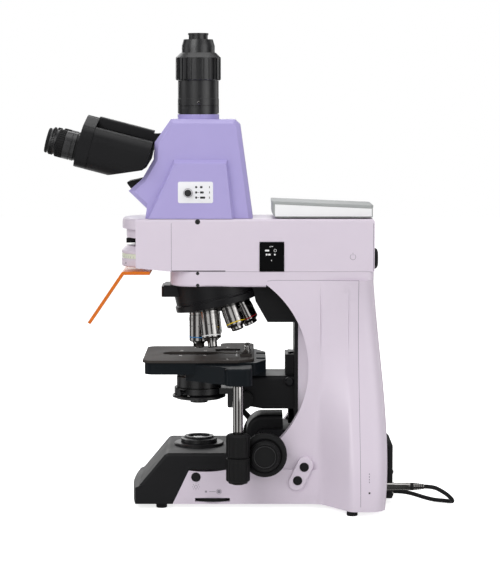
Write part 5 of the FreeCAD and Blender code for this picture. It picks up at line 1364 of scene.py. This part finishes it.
@dataclass
class Studio:
    """Floor, backdrop light and camera of a product photograph."""

    distance: float = 2500.0
    eye_z: float = 501.8
    aim_y: float = 64.2
    aim_z: float = 273.0
    pixels_per_unit: float = 2004.0
    frame_height: int = 566
    soft_light: float = 0.38
    floor_glow: float = 0.78
    cards: int = 5
    lamps: tuple[tuple[str, Place, float, float], ...] = field(
        default_factory=lambda: (
            ("key", (1500.0, -1100.0, 1500.0), 1300.0, 19.0),
            ("fill", (1500.0, 1300.0, 900.0), 1500.0, 9.5),
            ("top", (0.0, 0.0, 1900.0), 1500.0, 10.5),
            ("left", (-1500.0, -300.0, 1100.0), 1400.0, 8.5)))

    def build(self) -> None:
        """Put up floor, surroundings, lamps and camera."""
        self.floor()
        self.world()
        for name, place, size, power in self.lamps:
            self.lamp(name, place, size, power)
        self.camera()
        bpy.context.scene.view_settings.view_transform = "Standard"

    @staticmethod
    def paths(tree: NodeTree) -> tuple[NodeSocket, NodeSocket]:
        """Tell the kinds of ray apart.

        Args:
            tree: Tree that gets the nodes.

        Returns:
            Whether a ray comes from the camera or through glass, and whether from gloss.
        """
        path = add(tree, "ShaderNodeLightPath")
        seen = add(tree, "ShaderNodeMath", {"operation": "MAXIMUM"},
                   {0: path.outputs["Is Camera Ray"], 1: path.outputs["Is Transmission Ray"]})
        return seen.outputs["Value"], path.outputs["Is Glossy Ray"]

    def floor(self) -> None:
        """Plain pale floor that fades to white; gloss sees the dark cards through it."""
        form = bmesh.new()
        bmesh.ops.create_grid(form, x_segments=1, y_segments=1, size=6.0)
        mesh = bpy.data.meshes.new("studio_floor")
        form.to_mesh(mesh)
        form.free()
        floor = linked("studio_floor", mesh)
        material = bpy.data.materials.new("white_paper_floor")
        material.use_nodes = True
        tree = material.node_tree
        tree.nodes.clear()
        seen, gloss = self.paths(tree)
        level = add(tree, "ShaderNodeMapRange", {"To Max": self.floor_glow}, {"Value": seen})
        paper = add(tree, "ShaderNodeBsdfDiffuse", {"Color": linear("F4F4F4")})
        glow = add(tree, "ShaderNodeEmission", {"Color": linear("FFFFFF")}, {"Strength": level})
        both = add(tree, "ShaderNodeAddShader", {}, {0: paper, 1: glow})
        clear = add(tree, "ShaderNodeBsdfTransparent")
        either = add(tree, "ShaderNodeMixShader", {}, {0: gloss, 1: both, 2: clear})
        add(tree, "ShaderNodeOutputMaterial", {}, {"Surface": either})
        mesh.materials.append(material)

    def world(self) -> None:
        """White surroundings, with dark cards between the soft boxes that only gloss sees."""
        world = bpy.data.worlds.new("studio_world")
        world.use_nodes = True
        tree = world.node_tree
        tree.nodes.clear()
        place = add(tree, "ShaderNodeTexCoord")
        turn = add(tree, "ShaderNodeTexGradient", {"gradient_type": "RADIAL"},
                   {"Vector": place.outputs["Generated"]})
        angle = add(tree, "ShaderNodeMath", {"operation": "MULTIPLY", 1: math.tau * self.cards},
                    {0: turn.outputs["Fac"]})
        wave = add(tree, "ShaderNodeMath", {"operation": "SINE"}, {0: angle})
        cards = add(tree, "ShaderNodeMapRange", {"From Min": -0.3, "From Max": 0.7,
                    "To Min": 0.06, "To Max": 1.1}, {"Value": wave})
        seen, gloss = self.paths(tree)
        other = add(tree, "ShaderNodeMapRange", {"To Min": self.soft_light},
                    {"Value": gloss, "To Max": cards})
        level = add(tree, "ShaderNodeMapRange", {"To Max": 1.0}, {"Value": seen, "To Min": other})
        sky = add(tree, "ShaderNodeBackground", {"Color": linear("FFFFFF")}, {"Strength": level})
        add(tree, "ShaderNodeOutputWorld", {}, {"Surface": sky})
        bpy.context.scene.world = world

    def aimed(self, thing: Object, place: Place) -> None:
        """Put a lamp or the camera at a place, looking at the instrument.

        Args:
            thing: The lamp or camera.
            place: Drawing place in millimetres.
        """
        at = Drawing.at(*place)
        way = Drawing.at(0, self.aim_y, self.aim_z) - at
        turn = way.to_track_quat("-Z", "Y").to_matrix().to_4x4()
        thing.matrix_world = Matrix.Translation(at) @ turn

    def lamp(self, name: str, place: Place, size: float, power: float) -> None:
        """Add a soft area lamp that looks at the instrument.

        Args:
            name: Name of the lamp.
            place: Drawing place in millimetres.
            size: Edge in millimetres.
            power: Power in watts.
        """
        light = bpy.data.lights.new(name + "_lamp", "AREA")
        light.size = size * MM
        light.energy = power
        self.aimed(linked(name + "_lamp", light), place)

    def camera(self) -> None:
        """Camera at the photograph's place, level with the head and looking slightly down."""
        data = bpy.data.cameras.new("product_camera")
        data.sensor_fit = "VERTICAL"
        data.sensor_height = 24.0
        data.lens = self.pixels_per_unit / self.frame_height * data.sensor_height
        data.clip_end = 50.0
        data.dof.use_dof = False
        camera = linked("product_camera", data)
        self.aimed(camera, (self.distance, self.aim_y, self.eye_z))
        bpy.context.scene.camera = camera


def main() -> None:
    """Build the studio and every sub-assembly in order."""
    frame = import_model()
    Drawing.offset = axis_offset()
    Studio().build()
    for assembly in (Cable, Stand, Stage, Nosepiece, Arm, Head, Binocular):
        assembly(frame).build()
        LOG.info("%s is done", assembly.__name__)


if __name__ == "__main__":
    logging.basicConfig(level=logging.INFO)
    main()
